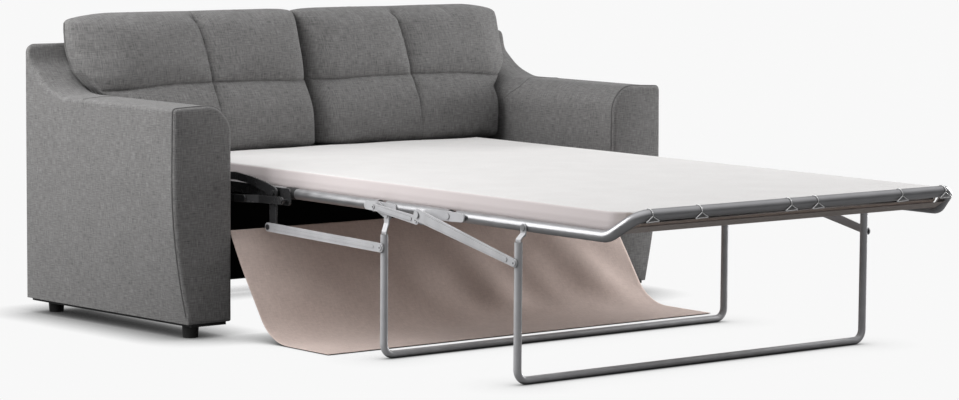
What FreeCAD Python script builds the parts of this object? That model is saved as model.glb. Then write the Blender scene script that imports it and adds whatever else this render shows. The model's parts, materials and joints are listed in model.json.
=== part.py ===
"""Two-seat sleeper sofa with its folding bed pulled out, in millimetres.

The origin is on the floor, midway between the arms and midway between the back of the sofa and the foot
of the opened bed. +X points to the arm on the right as seen from the foot of the bed, +Y to the back of
the sofa and +Z up. Places along the depth are given as a distance ahead of the sofa's back.

The bed is four hinged sections (head, body, middle, foot). A pair of cranked swing arms and a pair of
parallel links carry the body section. The folding legs are tube frames, each worked by a flat link.
"""

import FreeCAD, Part
import math
import os
import re
import Sketcher

from FreeCAD import Placement, Rotation, Vector

PARTS_FOLDER = "parts"
DOC = FreeCAD.newDocument("SleeperSofa")
SHEET = DOC.addObject("Spreadsheet::Sheet", "sizes")

# name, value in millimetres, what it is
SIZES = [
    ("mid_depth", 1218, "from the back of the sofa to the origin"),
    ("arm_outside", 940, "half of the overall width"),
    ("arm_inside", 741, "inner face of an arm"),
    ("arm_front", 829, "front of the arm facings"),
    ("arm_low", 45, "underside of the arms"),
    ("arm_high", 678, "top of the arms"),
    ("arm_toe", 889, "outer face of the arm at its front bottom corner"),
    ("facing", 14, "thickness of an arm facing"),
    ("wing_inside", 780, "inner face of the raised back corner of an arm"),
    ("wing_high", 826, "top of the raised back corner"),
    ("back_skin", 12, "thickness of the outside back"),
    ("well_panel", 13, "thickness of the panel behind the bed well"),
    ("back_half", 935, "half of the outside back's width"),
    ("back_high", 822, "top of the outside back"),
    ("back_foot", 472, "underside of the back frame, over the bed well"),
    ("cushion_low", 482, "underside of the back cushions"),
    ("cushion_high", 922, "top of the back cushions"),
    ("cushion_gap", 4, "from the middle of the sofa to a cushion"),
    ("cushion_low_side", 735, "side of a cushion between the arms"),
    ("cushion_high_side", 838, "side of a cushion above the arms"),
    ("foot_high", 37, "height of a foot"),
    ("foot_radius", 25, "top radius of a foot"),
    ("foot_end_radius", 22, "bottom radius of a foot"),
    ("strip_inside", 770, "inner side of the strip between the feet and an arm"),
    ("strip_outside", 872, "outer side of that strip"),
    ("lining", 3, "thickness of the well's side linings"),
    ("lining_low", 50, "underside of the well's linings"),
    ("lining_high", 470, "top of the well's side linings"),
    ("lining_front", 806, "front of the well's side linings"),
    ("rail_high", 425, "height of the bed's rails and of its hinge axes"),
    ("rail_place", 617, "half of the distance between the rails"),
    ("rail_radius", 16, "outer radius of a rail"),
    ("cross_radius", 11, "outer radius of a cross tube or a leg"),
    ("head_radius", 12.5, "outer radius of the head frame's tube"),
    ("wall", 1.5, "wall of every tube"),
    ("hinge_gap", 18, "from a hinge axis to the end of a rail"),
    ("head_hinge", 590, "hinge between the head and body sections"),
    ("body_hinge", 1395, "hinge between the body and middle sections"),
    ("foot_hinge", 1710, "hinge between the middle and foot sections"),
    ("bend_start", 2345, "corner where the foot rails turn upwards"),
    ("bar_place", 2420, "centre line of the raised foot bar"),
    ("bar_high", 483, "height of the raised foot bar"),
    ("bar_half", 581, "half of the foot bar, corner to corner"),
    ("head_end", 312, "centre line of the head section's end tube"),
    ("head_high", 416, "height of the head section's tube, which lies under its deck"),
    ("deck_low", 429, "underside of the decks"),
    ("deck_thick", 2, "thickness of the decks"),
    ("deck_half", 598, "half of a deck's width"),
    ("mattress_low", 432, "underside of the mattress"),
    ("mattress_thick", 60, "thickness of the mattress"),
    ("mattress_half", 600, "half of the mattress's width"),
    ("mattress_head", 294, "head end of the mattress"),
    ("mattress_foot", 2387, "foot end of the mattress"),
    ("fold_gap", 1, "from a fold's mitre plane to the mattress or deck"),
    ("leg_place", 652.5, "half of the distance between the sides of a leg frame"),
    ("leg_bend", 32, "bend radius of a leg frame"),
    ("leg_bar_high", 11, "height of a leg frame's floor bar"),
    ("rear_leg", 1442, "axis of the rear legs"),
    ("rear_leg_high", 405, "height of the rear legs' axis"),
    ("front_leg", 2025, "axis of the front legs"),
    ("front_leg_high", 421, "height of the front legs' axis"),
    ("swing_pivot", 540, "fixed axis of the swing arms"),
    ("swing_pivot_high", 416, "height of the swing arms' fixed axis"),
    ("swing_end", 905, "axis of the swing arms on the bed"),
    ("drag_high", 325, "height of the drag link's axis on the swing arm"),
    ("drag_leg_high", 315, "height of the drag link's axis on the rear leg"),
    ("link_shift", 50, "from a swing arm axis forward to the same axis of a control link"),
    ("link_drop", 20, "from a swing arm axis down to the same axis of a control link"),
    ("brace_top", 1610.5, "axis of the brace on the middle section"),
    ("brace_top_high", 421, "height of that axis"),
    ("brace_foot_high", 329, "height of the brace's axis on the front leg"),
    ("rail_side", 633, "outer side of the rails, where the first plates lie"),
    ("plate", 4, "thickness of the hinge plates and flat links"),
    ("second_lane", 637.5, "inner side of the plates that turn on the first ones"),
    ("rear_tab_lane", 642, "inner side of the rear legs' flat tabs"),
    ("front_tab_lane", 633.5, "inner side of the front legs' flat tabs"),
    ("tab", 4, "thickness of a leg's flat tab"),
    ("arm_lane", 645, "inner side of a swing arm, at the bed"),
    ("arm_outer_lane", 673, "inner side of a swing arm, at its fixed axis"),
    ("arm_thick", 6, "thickness of a swing arm"),
    ("link_lane", 655, "inner side of a control link, at the bed"),
    ("link_outer_lane", 683, "inner side of a control link, at its fixed axis"),
    ("stiffener_lane", 652, "inner side of the ribbed stiffener"),
    ("brace_lane", 664.5, "inner side of the braces and drag links"),
    ("side_plate_lane", 690, "inner side of the fixed side plates"),
    ("side_plate", 5, "thickness of a side plate"),
    ("pin_radius", 4.95, "radius of the rivets that are pivots"),
    ("hole_radius", 5, "radius of the holes that turn on them"),
    ("rivet_head", 8, "radius of a rivet head"),
    ("head_thick", 2.5, "thickness of a rivet head"),
    ("head_play", 0.3, "from a rivet head to the plate that turns under it"),
    ("rib", 2, "height of a pressed rib"),
    ("cloth_thick", 2.5, "thickness of the dust cloth with its hems"),
    ("cloth_half", 736, "half of the dust cloth's width"),
]
for row, (alias, number, note) in enumerate(SIZES, start=1):
    SHEET.set(f"A{row}", alias)
    SHEET.set(f"B{row}", str(number))
    SHEET.setAlias(f"B{row}", alias)
    SHEET.set(f"C{row}", note)
DOC.recompute()

NODES = []


def size(name):
    """The value of a driving dimension."""
    return float(SHEET.get(name))


def cells(expression):
    """An expression of driving dimensions, with the sheet's name put before each of them."""
    return re.sub(r"[a-z_]{3,}", lambda word: "sizes." + word.group(0), expression)


def depth(ahead):
    """The Y of a point that is so far ahead of the sofa's back."""
    return size("mid_depth") - ahead


def node(feature, label):
    """Names a finished sub-part, which gets a file of its own."""
    feature.Label = label
    NODES.append(feature)
    return feature


def both_sides(feature, label):
    """The right-hand sub-part and its mirror image across the middle of the sofa."""
    node(feature, "right_" + label)
    mirrored = DOC.addObject("Part::Mirroring", "left_" + label + "_mirror")
    mirrored.Source = feature
    mirrored.Normal = Vector(1, 0, 0)
    node(mirrored, "left_" + label)


# ---------------------------------------------------------------- outlines


def tangent_run(points, radii, closed=True):
    """Straight runs through the points, with a tangent arc of the given radius at each corner."""
    count = len(points)
    arcs = []
    for index, (corner, radius) in enumerate(zip(points, radii)):
        if radius == 0 or (not closed and index in (0, count - 1)):
            arcs.append((corner, None, corner))
            continue
        back = (points[index - 1] - corner).normalize()
        ahead = (points[(index + 1) % count] - corner).normalize()
        half_angle = back.getAngle(ahead) / 2
        reach = radius / math.tan(half_angle)
        bisector = (back + ahead).normalize()
        middle = corner + bisector * (radius / math.sin(half_angle) - radius)
        arcs.append((corner + back * reach, middle, corner + ahead * reach))
    edges = []
    for index, (start, middle, end) in enumerate(arcs):
        if middle is not None:
            edges.append(Part.Arc(start, middle, end))
        following = arcs[(index + 1) % count][0]
        if (closed or index < count - 1) and (following - end).Length > 1e-6:
            edges.append(Part.LineSegment(end, following))
    return edges


def flat(points):
    """Sketch points from pairs of numbers."""
    return [Vector(first, second, 0) for first, second in points]


def side_view(points):
    """Sketch points on the YZ plane, from pairs of distance ahead of the back and height."""
    return [Vector(depth(ahead), high, 0) for ahead, high in points]


def link_outline(start, end, start_radius, end_radius):
    """The outline of a flat link: two round ends and the lines that touch both."""
    span = end - start
    heading = math.atan2(span.y, span.x)
    lean = math.acos((start_radius - end_radius) / span.Length)

    def rim(centre, radius, angle):
        return centre + Vector(radius * math.cos(angle), radius * math.sin(angle), 0)

    upper = rim(start, start_radius, heading + lean), rim(end, end_radius, heading + lean)
    lower = rim(start, start_radius, heading - lean), rim(end, end_radius, heading - lean)
    return [
        Part.LineSegment(upper[0], upper[1]),
        Part.Arc(upper[1], rim(end, end_radius, heading), lower[1]),
        Part.LineSegment(lower[1], lower[0]),
        Part.Arc(lower[0], rim(start, start_radius, heading + math.pi), upper[0]),
    ]


def circle(centre, radius):
    return [Part.Circle(centre, Vector(0, 0, 1), radius)]


# ---------------------------------------------------------------- features


def new_body(name):
    body = DOC.addObject("PartDesign::Body", name)
    body.AllowCompound = True
    return body


def sketch_at(body, role, offset, edges):
    """A sketch parallel to one of the body's own origin planes, at a distance given by the sheet."""
    sketch = body.newObject("Sketcher::SketchObject", body.Name + "_sketch")
    plane = next(feature for feature in body.Origin.OriginFeatures if feature.Role == role)
    sketch.AttachmentSupport = [(plane, "")]
    sketch.MapMode = "FlatFace"
    sketch.setExpression("AttachmentOffset.Base.z", cells(offset))
    for edge in edges:
        sketch.addGeometry(edge)
    return sketch


def add_pad(body, role, offset, length, edges):
    """A pad from one distance to the next along the normal of an origin plane."""
    sketch = sketch_at(body, role, offset, edges)
    pad = body.newObject("PartDesign::Pad", body.Name + "_pad")
    pad.Profile = sketch
    pad.setExpression("Length", cells(length))
    body.Tip = pad
    return pad


def side_pad(body, lane, thick, edges):
    """A pad of a side view, from its inner side outwards."""
    return add_pad(body, "YZ_Plane", lane, thick, edges)


def cut_hole(body, lane, thick, place, radius="hole_radius"):
    """A round hole along X through a plate."""
    sketch = sketch_at(body, "YZ_Plane", lane + " + " + thick, circle(place, size(radius)))
    pocket = body.newObject("PartDesign::Pocket", body.Name + "_hole")
    pocket.Profile = sketch
    pocket.setExpression("Length", cells(thick))
    body.Tip = pocket
    return pocket


def add_pin(body, place, start, end, head_start, radius="pin_radius"):
    """A rivet along X that a plate turns on, and the round head that keeps the plate on it."""
    side_pad(body, start, f"({end}) - ({start})", circle(place, size(radius)))
    side_pad(body, head_start, "head_thick", circle(place, size("rivet_head")))


def bar_chain(body, lane, thick, places, radii):
    """A flat bar that follows a few places, round at each of them."""
    for start, end, first, last in zip(places, places[1:], radii, radii[1:]):
        side_pad(body, lane, thick, link_outline(start, end, first, last))


def box(name, lows, highs):
    """A block between two corners, each a triple of expressions."""
    block = DOC.addObject("Part::Box", name)
    for side, low, high in zip(("Length", "Width", "Height"), lows, highs):
        block.setExpression(side, cells(f"({high}) - ({low})"))
    for axis, low in zip("xyz", lows):
        block.setExpression(f"Placement.Base.{axis}", cells(low))
    return block


def swept(name, route, radius):
    """A round rod of the given radius along a route of tangent lines and arcs."""
    path = DOC.addObject("Part::Feature", name + "_route")
    path.Shape = Part.Wire([edge.toShape() for edge in route])
    start = route[0].value(route[0].FirstParameter)
    heading = route[0].tangent(route[0].FirstParameter)[0]
    section = DOC.addObject("Part::Circle", name + "_section")
    section.setExpression("Radius", cells(radius))
    section.Placement = Placement(start, Rotation(Vector(0, 0, 1), heading))
    rod = DOC.addObject("Part::Sweep", name)
    rod.Sections = [section]
    rod.Spine = (path, [f"Edge{number}" for number in range(1, len(route) + 1)])
    rod.Solid = True
    rod.Frenet = False
    return rod


def cut(name, base, tool):
    feature = DOC.addObject("Part::Cut", name)
    feature.Base = base
    feature.Tool = tool
    return feature


def fuse(name, shapes):
    feature = DOC.addObject("Part::MultiFuse", name)
    feature.Shapes = shapes
    return feature


def tube(name, points, bends, radius):
    """A tube with tangent bends along a line of points."""
    route = tangent_run(points, bends, closed=False)
    outside = swept(name + "_outside", route, radius)
    inside = swept(name + "_inside", route, radius + " - wall")
    return cut(name + "_hollow", outside, inside)


# ---------------------------------------------------------------- sofa

MIRROR_PAIR = (-1, 1)
REAR_FOOT = (862, 55)
FRONT_FOOT = (845, 765)
TOP_EDGE_RADIUS = 26
TOP_ROLL_RADIUS = 85
TAPER_TOP = 480
TAPER_MIDDLE = (922, 226)
TOP_CROWN = 4
WING_SINK = 2
WING_ROOT = 600
WING_RIDGE = 24
WING_SLOPE = [(36, 772), (120, 706)]
WING_FOOT = 200
WING_END = 345
WING_RADII = (0, 9, 10, 40, 200, 120, 0, 0)
STRIP_SET_BACK = (12, 22)
BACK_FRAME_FOOT = 128
BACK_FRAME_TOP = (60, 812)
# side view of a cushion above its underside: thick at the bottom, leaning back to a thin rounded top
CUSHION_FRONT_POINTS = [(306, 600), (268, 700), (205, 850)]
CUSHION_BASE = (136, 298)
CUSHION_TOP = (160, 66)
CUSHION_REAR = (72, 800)
CUSHION_SIDE_RADII = (18, 34, 120, 160, 160, 50, 34, 200)
# front view of a cushion's outer side: upright between the arms, then out over them in two steps
CUSHION_WAIST = 630
CUSHION_STEPS = [(770, 722), (775, 790)]
CUSHION_EAR = 838
CUSHION_FRONT_RADII = (24, 24, 60, 50, 30, 40, 50, 30)


def arm_outline(toe):
    """The section of an arm: flat outside with a small top edge, and a large roll at the inner top.

    The outer face curves in to the toe below TAPER_TOP; with the toe at the arm's own width it is upright.
    """
    outside, inside = size("arm_outside"), size("arm_inside")
    low, high = size("arm_low"), size("arm_high")
    tapered = toe < outside
    middle = TAPER_MIDDLE if tapered else (outside, (low + TAPER_TOP) / 2)
    edge_centre = high - TOP_CROWN - TOP_EDGE_RADIUS
    roll_centre = Vector(inside + TOP_ROLL_RADIUS, high - TOP_ROLL_RADIUS, 0)
    diagonal = math.sqrt(0.5)
    if tapered:
        lower = Part.Arc(Vector(toe, low, 0), Vector(*middle, 0), Vector(outside, TAPER_TOP, 0))
    else:
        lower = Part.LineSegment(Vector(toe, low, 0), Vector(outside, TAPER_TOP, 0))
    edge_start = Vector(outside, edge_centre, 0)
    edge_end = Vector(outside - TOP_EDGE_RADIUS, high - TOP_CROWN, 0)
    edge_middle = Vector(
        outside - TOP_EDGE_RADIUS * (1 - diagonal), edge_centre + TOP_EDGE_RADIUS * diagonal, 0
    )
    roll_start = Vector(roll_centre.x, high, 0)
    roll_end = Vector(inside, roll_centre.y, 0)
    roll_middle = roll_centre + Vector(-TOP_ROLL_RADIUS * diagonal, TOP_ROLL_RADIUS * diagonal, 0)
    return [
        lower,
        Part.LineSegment(Vector(outside, TAPER_TOP, 0), edge_start),
        Part.Arc(edge_start, edge_middle, edge_end),
        Part.LineSegment(edge_end, roll_start),
        Part.Arc(roll_start, roll_middle, roll_end),
        Part.LineSegment(roll_end, Vector(inside, low, 0)),
        Part.LineSegment(Vector(inside, low, 0), Vector(toe, low, 0)),
    ]


def make_arms():
    """The upholstered arms, each with a raised corner at the back and a facing at the front."""
    arm = new_body("arm")
    # the XZ plane's normal points to -Y, so offsets along it grow towards the front
    rear = sketch_at(arm, "XZ_Plane", "back_skin - mid_depth", arm_outline(size("arm_outside")))
    front = sketch_at(arm, "XZ_Plane", "arm_front - facing - mid_depth", arm_outline(size("arm_toe")))
    loft = arm.newObject("PartDesign::AdditiveLoft", "arm_loft")
    loft.Profile = rear
    loft.Sections = [front]
    loft.Ruled = True
    arm.Tip = loft
    rear_edge, wing_high = size("back_skin"), size("wing_high")
    arm_top = size("arm_high") - WING_SINK
    wing = side_view(
        [
            (rear_edge, WING_ROOT), (rear_edge, wing_high), (WING_RIDGE, wing_high), *WING_SLOPE,
            (WING_FOOT, arm_top), (WING_END, arm_top), (WING_END, WING_ROOT),
        ]
    )
    side_pad(arm, "wing_inside", "arm_outside - wing_inside", tangent_run(wing, WING_RADII))
    both_sides(arm, "arm")

    facing = new_body("arm_facing")
    add_pad(facing, "XZ_Plane", "arm_front - facing - mid_depth", "facing", arm_outline(size("arm_toe")))
    both_sides(facing, "arm_facing")


def make_base():
    """Feet, the strips between the feet and the arms, and the dark linings of the bed well."""
    feet = []
    for side in MIRROR_PAIR:
        for beside, ahead in (REAR_FOOT, FRONT_FOOT):
            foot = DOC.addObject("Part::Cone", "foot")
            foot.setExpression("Radius1", cells("foot_end_radius"))
            foot.setExpression("Radius2", cells("foot_radius"))
            foot.setExpression("Height", cells("foot_high"))
            foot.Placement.Base = Vector(side * beside, depth(ahead), 0)
            feet.append(foot)
    node(fuse("feet_group", feet), "feet")

    front, rear = STRIP_SET_BACK
    strip_lows = (f"mid_depth - arm_front + {front}", "foot_high")
    strip_highs = (f"mid_depth - {rear}", "arm_low")
    strips = [
        box("strip_right", ("strip_inside", *strip_lows), ("strip_outside", *strip_highs)),
        box("strip_left", ("-strip_outside", *strip_lows), ("-strip_inside", *strip_highs)),
    ]
    node(fuse("base_strip_pair", strips), "base_strips")

    inner = "(arm_inside - lining)"
    lining_lows = ("mid_depth - lining_front", "lining_low")
    lining_highs = ("mid_depth - back_skin - well_panel - 1", "lining_high")
    linings = [
        box("lining_right", (inner, *lining_lows), ("arm_inside", *lining_highs)),
        box("lining_left", ("-arm_inside", *lining_lows), (f"-{inner}", *lining_highs)),
    ]
    node(fuse("lining_pair", linings), "well_linings")


def make_back():
    """The outside back, the panel behind the bed well, the padded back frame and the two cushions."""
    outside = new_body("outside_back_body")
    half, low, high = size("back_half"), size("arm_low"), size("back_high")
    corners = flat([(-half, low), (half, low), (half, high), (-half, high)])
    add_pad(
        outside, "XZ_Plane", "-mid_depth", "back_skin", tangent_run(corners, (4, 4, 22, 22))
    )
    node(outside, "outside_back")

    well = box(
        "well_back",
        ("-(arm_inside - 1)", "mid_depth - back_skin - well_panel", "lining_low"),
        ("arm_inside - 1", "mid_depth - back_skin", "back_foot - 1"),
    )
    node(well, "well_back_panel")

    frame = new_body("back_frame_body")
    rear, foot, top = size("back_skin"), size("back_foot"), BACK_FRAME_TOP[1]
    profile = [(rear, foot), (BACK_FRAME_FOOT, foot), BACK_FRAME_TOP, (rear, top)]
    edges = tangent_run(side_view(profile), (0, 10, 22, 0))
    side_pad(frame, "-(arm_inside - 1)", "2 * (arm_inside - 1)", edges)
    node(frame, "back_frame")

    low, high = size("cushion_low"), size("cushion_high")
    underside = [(ahead, low) for ahead in CUSHION_BASE]
    top = [(ahead, high) for ahead in CUSHION_TOP]
    side_profile = [*underside, *CUSHION_FRONT_POINTS, *top, CUSHION_REAR]
    gap, low_side, high_side = size("cushion_gap"), size("cushion_low_side"), size("cushion_high_side")
    front_outline = [
        (gap, low), (low_side, low), (low_side, CUSHION_WAIST), *CUSHION_STEPS,
        (high_side, CUSHION_EAR), (high_side, high), (gap, high),
    ]
    sides = new_body("cushion_side_view")
    side_pad(
        sides, "cushion_gap", "cushion_high_side - cushion_gap",
        tangent_run(side_view(side_profile), CUSHION_SIDE_RADII),
    )
    fronts = new_body("cushion_front_view")
    add_pad(
        fronts, "XZ_Plane", "-mid_depth", "mid_depth", tangent_run(flat(front_outline), CUSHION_FRONT_RADII)
    )
    cushion = DOC.addObject("Part::Common", "cushion")
    cushion.Base = sides
    cushion.Tool = fronts
    both_sides(cushion, "back_cushion")


def ribbon(points, radii, half_thick):
    """The outline of a thin strip that keeps the same distance from both sides of a rounded line."""
    sides = {1: [], -1: []}
    for index, corner in enumerate(points):
        before = (corner - points[index - 1]).normalize() if index else None
        after = (points[index + 1] - corner).normalize() if index < len(points) - 1 else before
        before = before or after
        bisector = (before + after).normalize()
        normal = Vector(-bisector.y, bisector.x, 0)
        spread = half_thick / bisector.dot(after)
        turn = before.cross(after).z
        for sign, side in sides.items():
            grown = radii[index] - sign * half_thick * math.copysign(1, turn)
            side.append((corner + normal * sign * spread, grown if radii[index] else 0))
    around = sides[1] + sides[-1][::-1]
    return tangent_run([corner for corner, _ in around], [radius for _, radius in around])


def make_dust_cloth():
    """The cloth that hangs across the front of the well and lies out on the floor."""
    half_thick = size("cloth_thick") / 2
    on_floor = half_thick + 1
    line = [(806, 310), (868, 208), (962, 70), (1030, on_floor), (1295, on_floor)]
    cloth = new_body("dust_cloth_sheet")
    edges = ribbon(side_view(line), (0, 400, 120, 110, 0), half_thick)
    side_pad(cloth, "-cloth_half", "2 * cloth_half", edges)
    node(cloth, "dust_cloth")


# ---------------------------------------------------------------- places of the pivots


def place(ahead, high):
    """A pivot in the side view, from driving dimensions or numbers."""
    numbers = [size(value) if isinstance(value, str) else value for value in (ahead, high)]
    return Vector(depth(numbers[0]), numbers[1], 0)


HEAD_HINGE = place("head_hinge", "rail_high")
BODY_HINGE = place("body_hinge", "rail_high")
FOOT_HINGE = place("foot_hinge", "rail_high")
SWING_PIVOT = place("swing_pivot", "swing_pivot_high")
SWING_END = place("swing_end", "rail_high")
DRAG_END = place("swing_end", "drag_high")
DRAG_LEG = place("rear_leg", "drag_leg_high")
LINK_STEP = Vector(-size("link_shift"), -size("link_drop"), 0)
LINK_PIVOT = SWING_PIVOT + LINK_STEP
LINK_END = SWING_END + LINK_STEP
REAR_LEG = place("rear_leg", "rear_leg_high")
FRONT_LEG = place("front_leg", "front_leg_high")
BRACE_TOP = place("brace_top", "brace_top_high")
BRACE_FOOT = place("front_leg", "brace_foot_high")
STIFFENER_END = place(1588, 404)
# start, end and height of the sloping step in a swing arm, and half of its width there
CRANK_STEP = (715, 675, 460)
CRANK_HALF = 11
STIFFENER_HALVES = (9, 12)
# from a leg's axis down to the start and the end of its tab's joggle, and to the end of its tube
REAR_LEG_TOP = (22, 46, 54)
FRONT_LEG_TOP = (14, 30, 38)
TAB_ROOT = 24
FOOT_CORNER_IN = 32
FOOT_CORNER_BACK = 12


# ---------------------------------------------------------------- swing mechanism


def cranked_bar(body, inner_lane, outer_lane, thick, bend, half_width):
    """The sloping step that takes a flat bar from its inner lane to its outer lane."""
    near, far, high = bend
    step = flat(
        [
            (size(inner_lane), depth(near)),
            (size(inner_lane) + size(thick), depth(near)),
            (size(outer_lane) + size(thick), depth(far)),
            (size(outer_lane), depth(far)),
        ]
    )
    add_pad(
        body, "XY_Plane", f"{high - half_width}", f"{2 * half_width}",
        tangent_run(step, (0, 0, 0, 0)),
    )


def make_swing_arms():
    """The curved cranks: fixed axis, arched arm, corner on the bed and a tail for the drag link."""
    arm = new_body("swing_arm_body")
    near, far, high = CRANK_STEP
    inner = [DRAG_END, SWING_END, place(870, 438), place(800, 452), place(near, high)]
    bar_chain(arm, "arm_lane", "arm_thick", inner, (14, 18, 14, 11.5, CRANK_HALF))
    cranked_bar(arm, "arm_lane", "arm_outer_lane", "arm_thick", CRANK_STEP, CRANK_HALF)
    outer = [place(far, high), place(620, 452), SWING_PIVOT]
    bar_chain(arm, "arm_outer_lane", "arm_thick", outer, (CRANK_HALF, 12.5, 18))
    cut_hole(arm, "arm_lane", "arm_thick", SWING_END)
    cut_hole(arm, "arm_outer_lane", "arm_thick", SWING_PIVOT)
    drag_head = "brace_lane + plate + head_play"
    add_pin(arm, DRAG_END, "arm_lane + arm_thick", drag_head, drag_head)
    both_sides(arm, "swing_arm")


def make_control_links():
    """The straight links that keep the bed level, parallel to the line of the swing arms' axes."""
    link = new_body("control_link_body")
    slope = (LINK_PIVOT.y - LINK_END.y) / (LINK_PIVOT.x - LINK_END.x)

    def on_link(ahead):
        return place(ahead, LINK_END.y + slope * (depth(ahead) - LINK_END.x))

    inner_step, outer_step = on_link(845), on_link(805)
    bar_chain(link, "link_lane", "plate", [LINK_END, inner_step], (11, 11))
    cranked_bar(link, "link_lane", "link_outer_lane", "plate", (845, 805, inner_step.y), 11)
    bar_chain(link, "link_outer_lane", "plate", [outer_step, LINK_PIVOT], (11, 11))
    cut_hole(link, "link_lane", "plate", LINK_END)
    cut_hole(link, "link_outer_lane", "plate", LINK_PIVOT)
    both_sides(link, "control_link")


def make_drag_links():
    """The flat links from the tail of each swing arm to the rear leg frame."""
    link = new_body("drag_link_body")
    side_pad(link, "brace_lane", "plate", link_outline(DRAG_END, DRAG_LEG, 13, 13))
    span = DRAG_LEG - DRAG_END
    ridge = link_outline(DRAG_END + span * 0.06, DRAG_LEG - span * 0.06, 4, 4)
    side_pad(link, "brace_lane + plate", "rib / 2", ridge)
    side_pad(link, "brace_lane + plate", "head_thick", circle(DRAG_LEG, size("rivet_head")))
    cut_hole(link, "brace_lane", "plate", DRAG_END)
    both_sides(link, "drag_link")


def make_side_plates():
    """The fixed plates inside the arms, each on two channels and with the pins of both links."""
    plate = new_body("side_plate_body")
    outline = side_view([(500, 376), (632, 364), (632, 428), (590, 450), (500, 450)])
    side_pad(plate, "side_plate_lane", "side_plate", tangent_run(outline, (12, 12, 20, 20, 12)))
    for ahead in (508, 604):
        channel = side_view([(ahead, 384), (ahead + 20, 384), (ahead + 20, 436), (ahead, 436)])
        side_pad(
            plate, "side_plate_lane + side_plate",
            "arm_inside - lining - side_plate_lane - side_plate",
            tangent_run(channel, (3, 3, 3, 3)),
        )
    for pivot, lane, thick in (
        (SWING_PIVOT, "arm_outer_lane", "arm_thick"),
        (LINK_PIVOT, "link_outer_lane", "plate"),
    ):
        side_pad(plate, lane, f"side_plate_lane - {lane}", circle(pivot, size("pin_radius")))
        head = f"{lane} - head_play - head_thick"
        side_pad(plate, head, "head_thick", circle(pivot, size("rivet_head")))
        side_pad(plate, f"{lane} - head_play", "head_play", circle(pivot, size("pin_radius")))
        collar = f"{lane} + {thick} + head_play"
        side_pad(plate, collar, f"side_plate_lane - ({collar})", circle(pivot, size("rivet_head")))
    both_sides(plate, "side_plate")


# ---------------------------------------------------------------- bed frames


def rail_points(start, end):
    """The two ends of a straight side rail."""
    return [
        Vector(size("rail_place"), depth(start), size("rail_high")),
        Vector(size("rail_place"), depth(end), size("rail_high")),
    ]


def cross_tube(name, ahead, high):
    """A tube between the rails, with its ends shaped to fit round them."""
    reach = size("rail_place")
    ends = [Vector(-reach, depth(ahead), high), Vector(reach, depth(ahead), high)]
    long_tube = tube(name, ends, (0, 0), "cross_radius")
    rails = []
    for side in MIRROR_PAIR:
        rail = DOC.addObject("Part::Cylinder", name + "_rail")
        rail.setExpression("Radius", cells("rail_radius"))
        rail.Height = 60
        rail.Placement = Placement(
            Vector(side * reach, depth(ahead) + 30, size("rail_high")), Rotation(Vector(1, 0, 0), 90)
        )
        rails.append(rail)
    return cut(name + "_coped", long_tube, fuse(name + "_rails", rails))


def deck(name, start, end):
    """The woven deck of one section, a thin sheet between the rails."""
    return box(
        name, ("-deck_half", f"mid_depth - ({end})", "deck_low"),
        ("deck_half", f"mid_depth - ({start})", "deck_low + deck_thick"),
    )


def mattress(name, start, end, start_fold, end_fold):
    """One section of the mattress; an end at a fold is mitred at 45 degrees from the hinge axis."""
    body = new_body(name + "_body")
    low = size("mattress_low")
    high = low + size("mattress_thick")

    def back_off(level, folded):
        return (level - size("rail_high") + size("fold_gap")) if folded else 0

    section = side_view(
        [
            (start + back_off(low, start_fold), low),
            (end - back_off(low, end_fold), low),
            (end - back_off(high, end_fold), high),
            (start + back_off(high, start_fold), high),
        ]
    )
    radii = (0 if start_fold else 12, 0 if end_fold else 12, 0 if end_fold else 16, 0 if start_fold else 16)
    side_pad(body, "-mattress_half", "2 * mattress_half", tangent_run(section, radii))
    return body


def make_body_section():
    """The section that the swing arms carry: rails, cross tubes, side plates, deck and mattress."""
    start = size("head_hinge") + size("hinge_gap")
    end = size("body_hinge") - size("hinge_gap")
    both_sides(tube("body_rail", rail_points(start, end), (0, 0), "rail_radius"), "body_rail")
    node(cross_tube("rear_cross", 640, 415), "rear_cross_tube")
    node(cross_tube("front_cross", 1345, 415), "front_cross_tube")

    plate = new_body("pivot_plate_body")
    outline = side_view([(573, 410), (888, 410), (935, 390), (973, 390), (973, 440), (573, 440)])
    side_pad(plate, "rail_side", "plate", tangent_run(outline, (12, 30, 30, 13, 13, 14)))
    outer = "rail_side + plate"
    add_pin(plate, HEAD_HINGE, outer, "second_lane + plate", "second_lane + plate")
    add_pin(plate, SWING_END, outer, "arm_lane + arm_thick + head_play", "arm_lane + arm_thick + head_play")
    add_pin(plate, LINK_END, outer, "link_lane + plate + head_play", "link_lane + plate + head_play")
    both_sides(plate, "pivot_plate")

    hinge = new_body("body_hinge_body")
    rear = place(1345, "rail_high")
    bar_chain(hinge, "second_lane", "plate", [rear, BODY_HINGE, REAR_LEG], (12, 14, 14))
    side_pad(hinge, "rail_side", "second_lane - rail_side", circle(rear, 10))
    cut_hole(hinge, "second_lane", "plate", BODY_HINGE)
    tab_end = "rear_tab_lane + tab + head_play"
    add_pin(hinge, REAR_LEG, "second_lane + plate", tab_end, tab_end)
    both_sides(hinge, "body_hinge_plate")

    node(deck("body_deck_sheet", "head_hinge + 8", "body_hinge - 8"), "body_deck")
    pad = mattress("mattress_body_pad", size("head_hinge"), size("body_hinge"), True, True)
    node(pad, "mattress_body")


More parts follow.
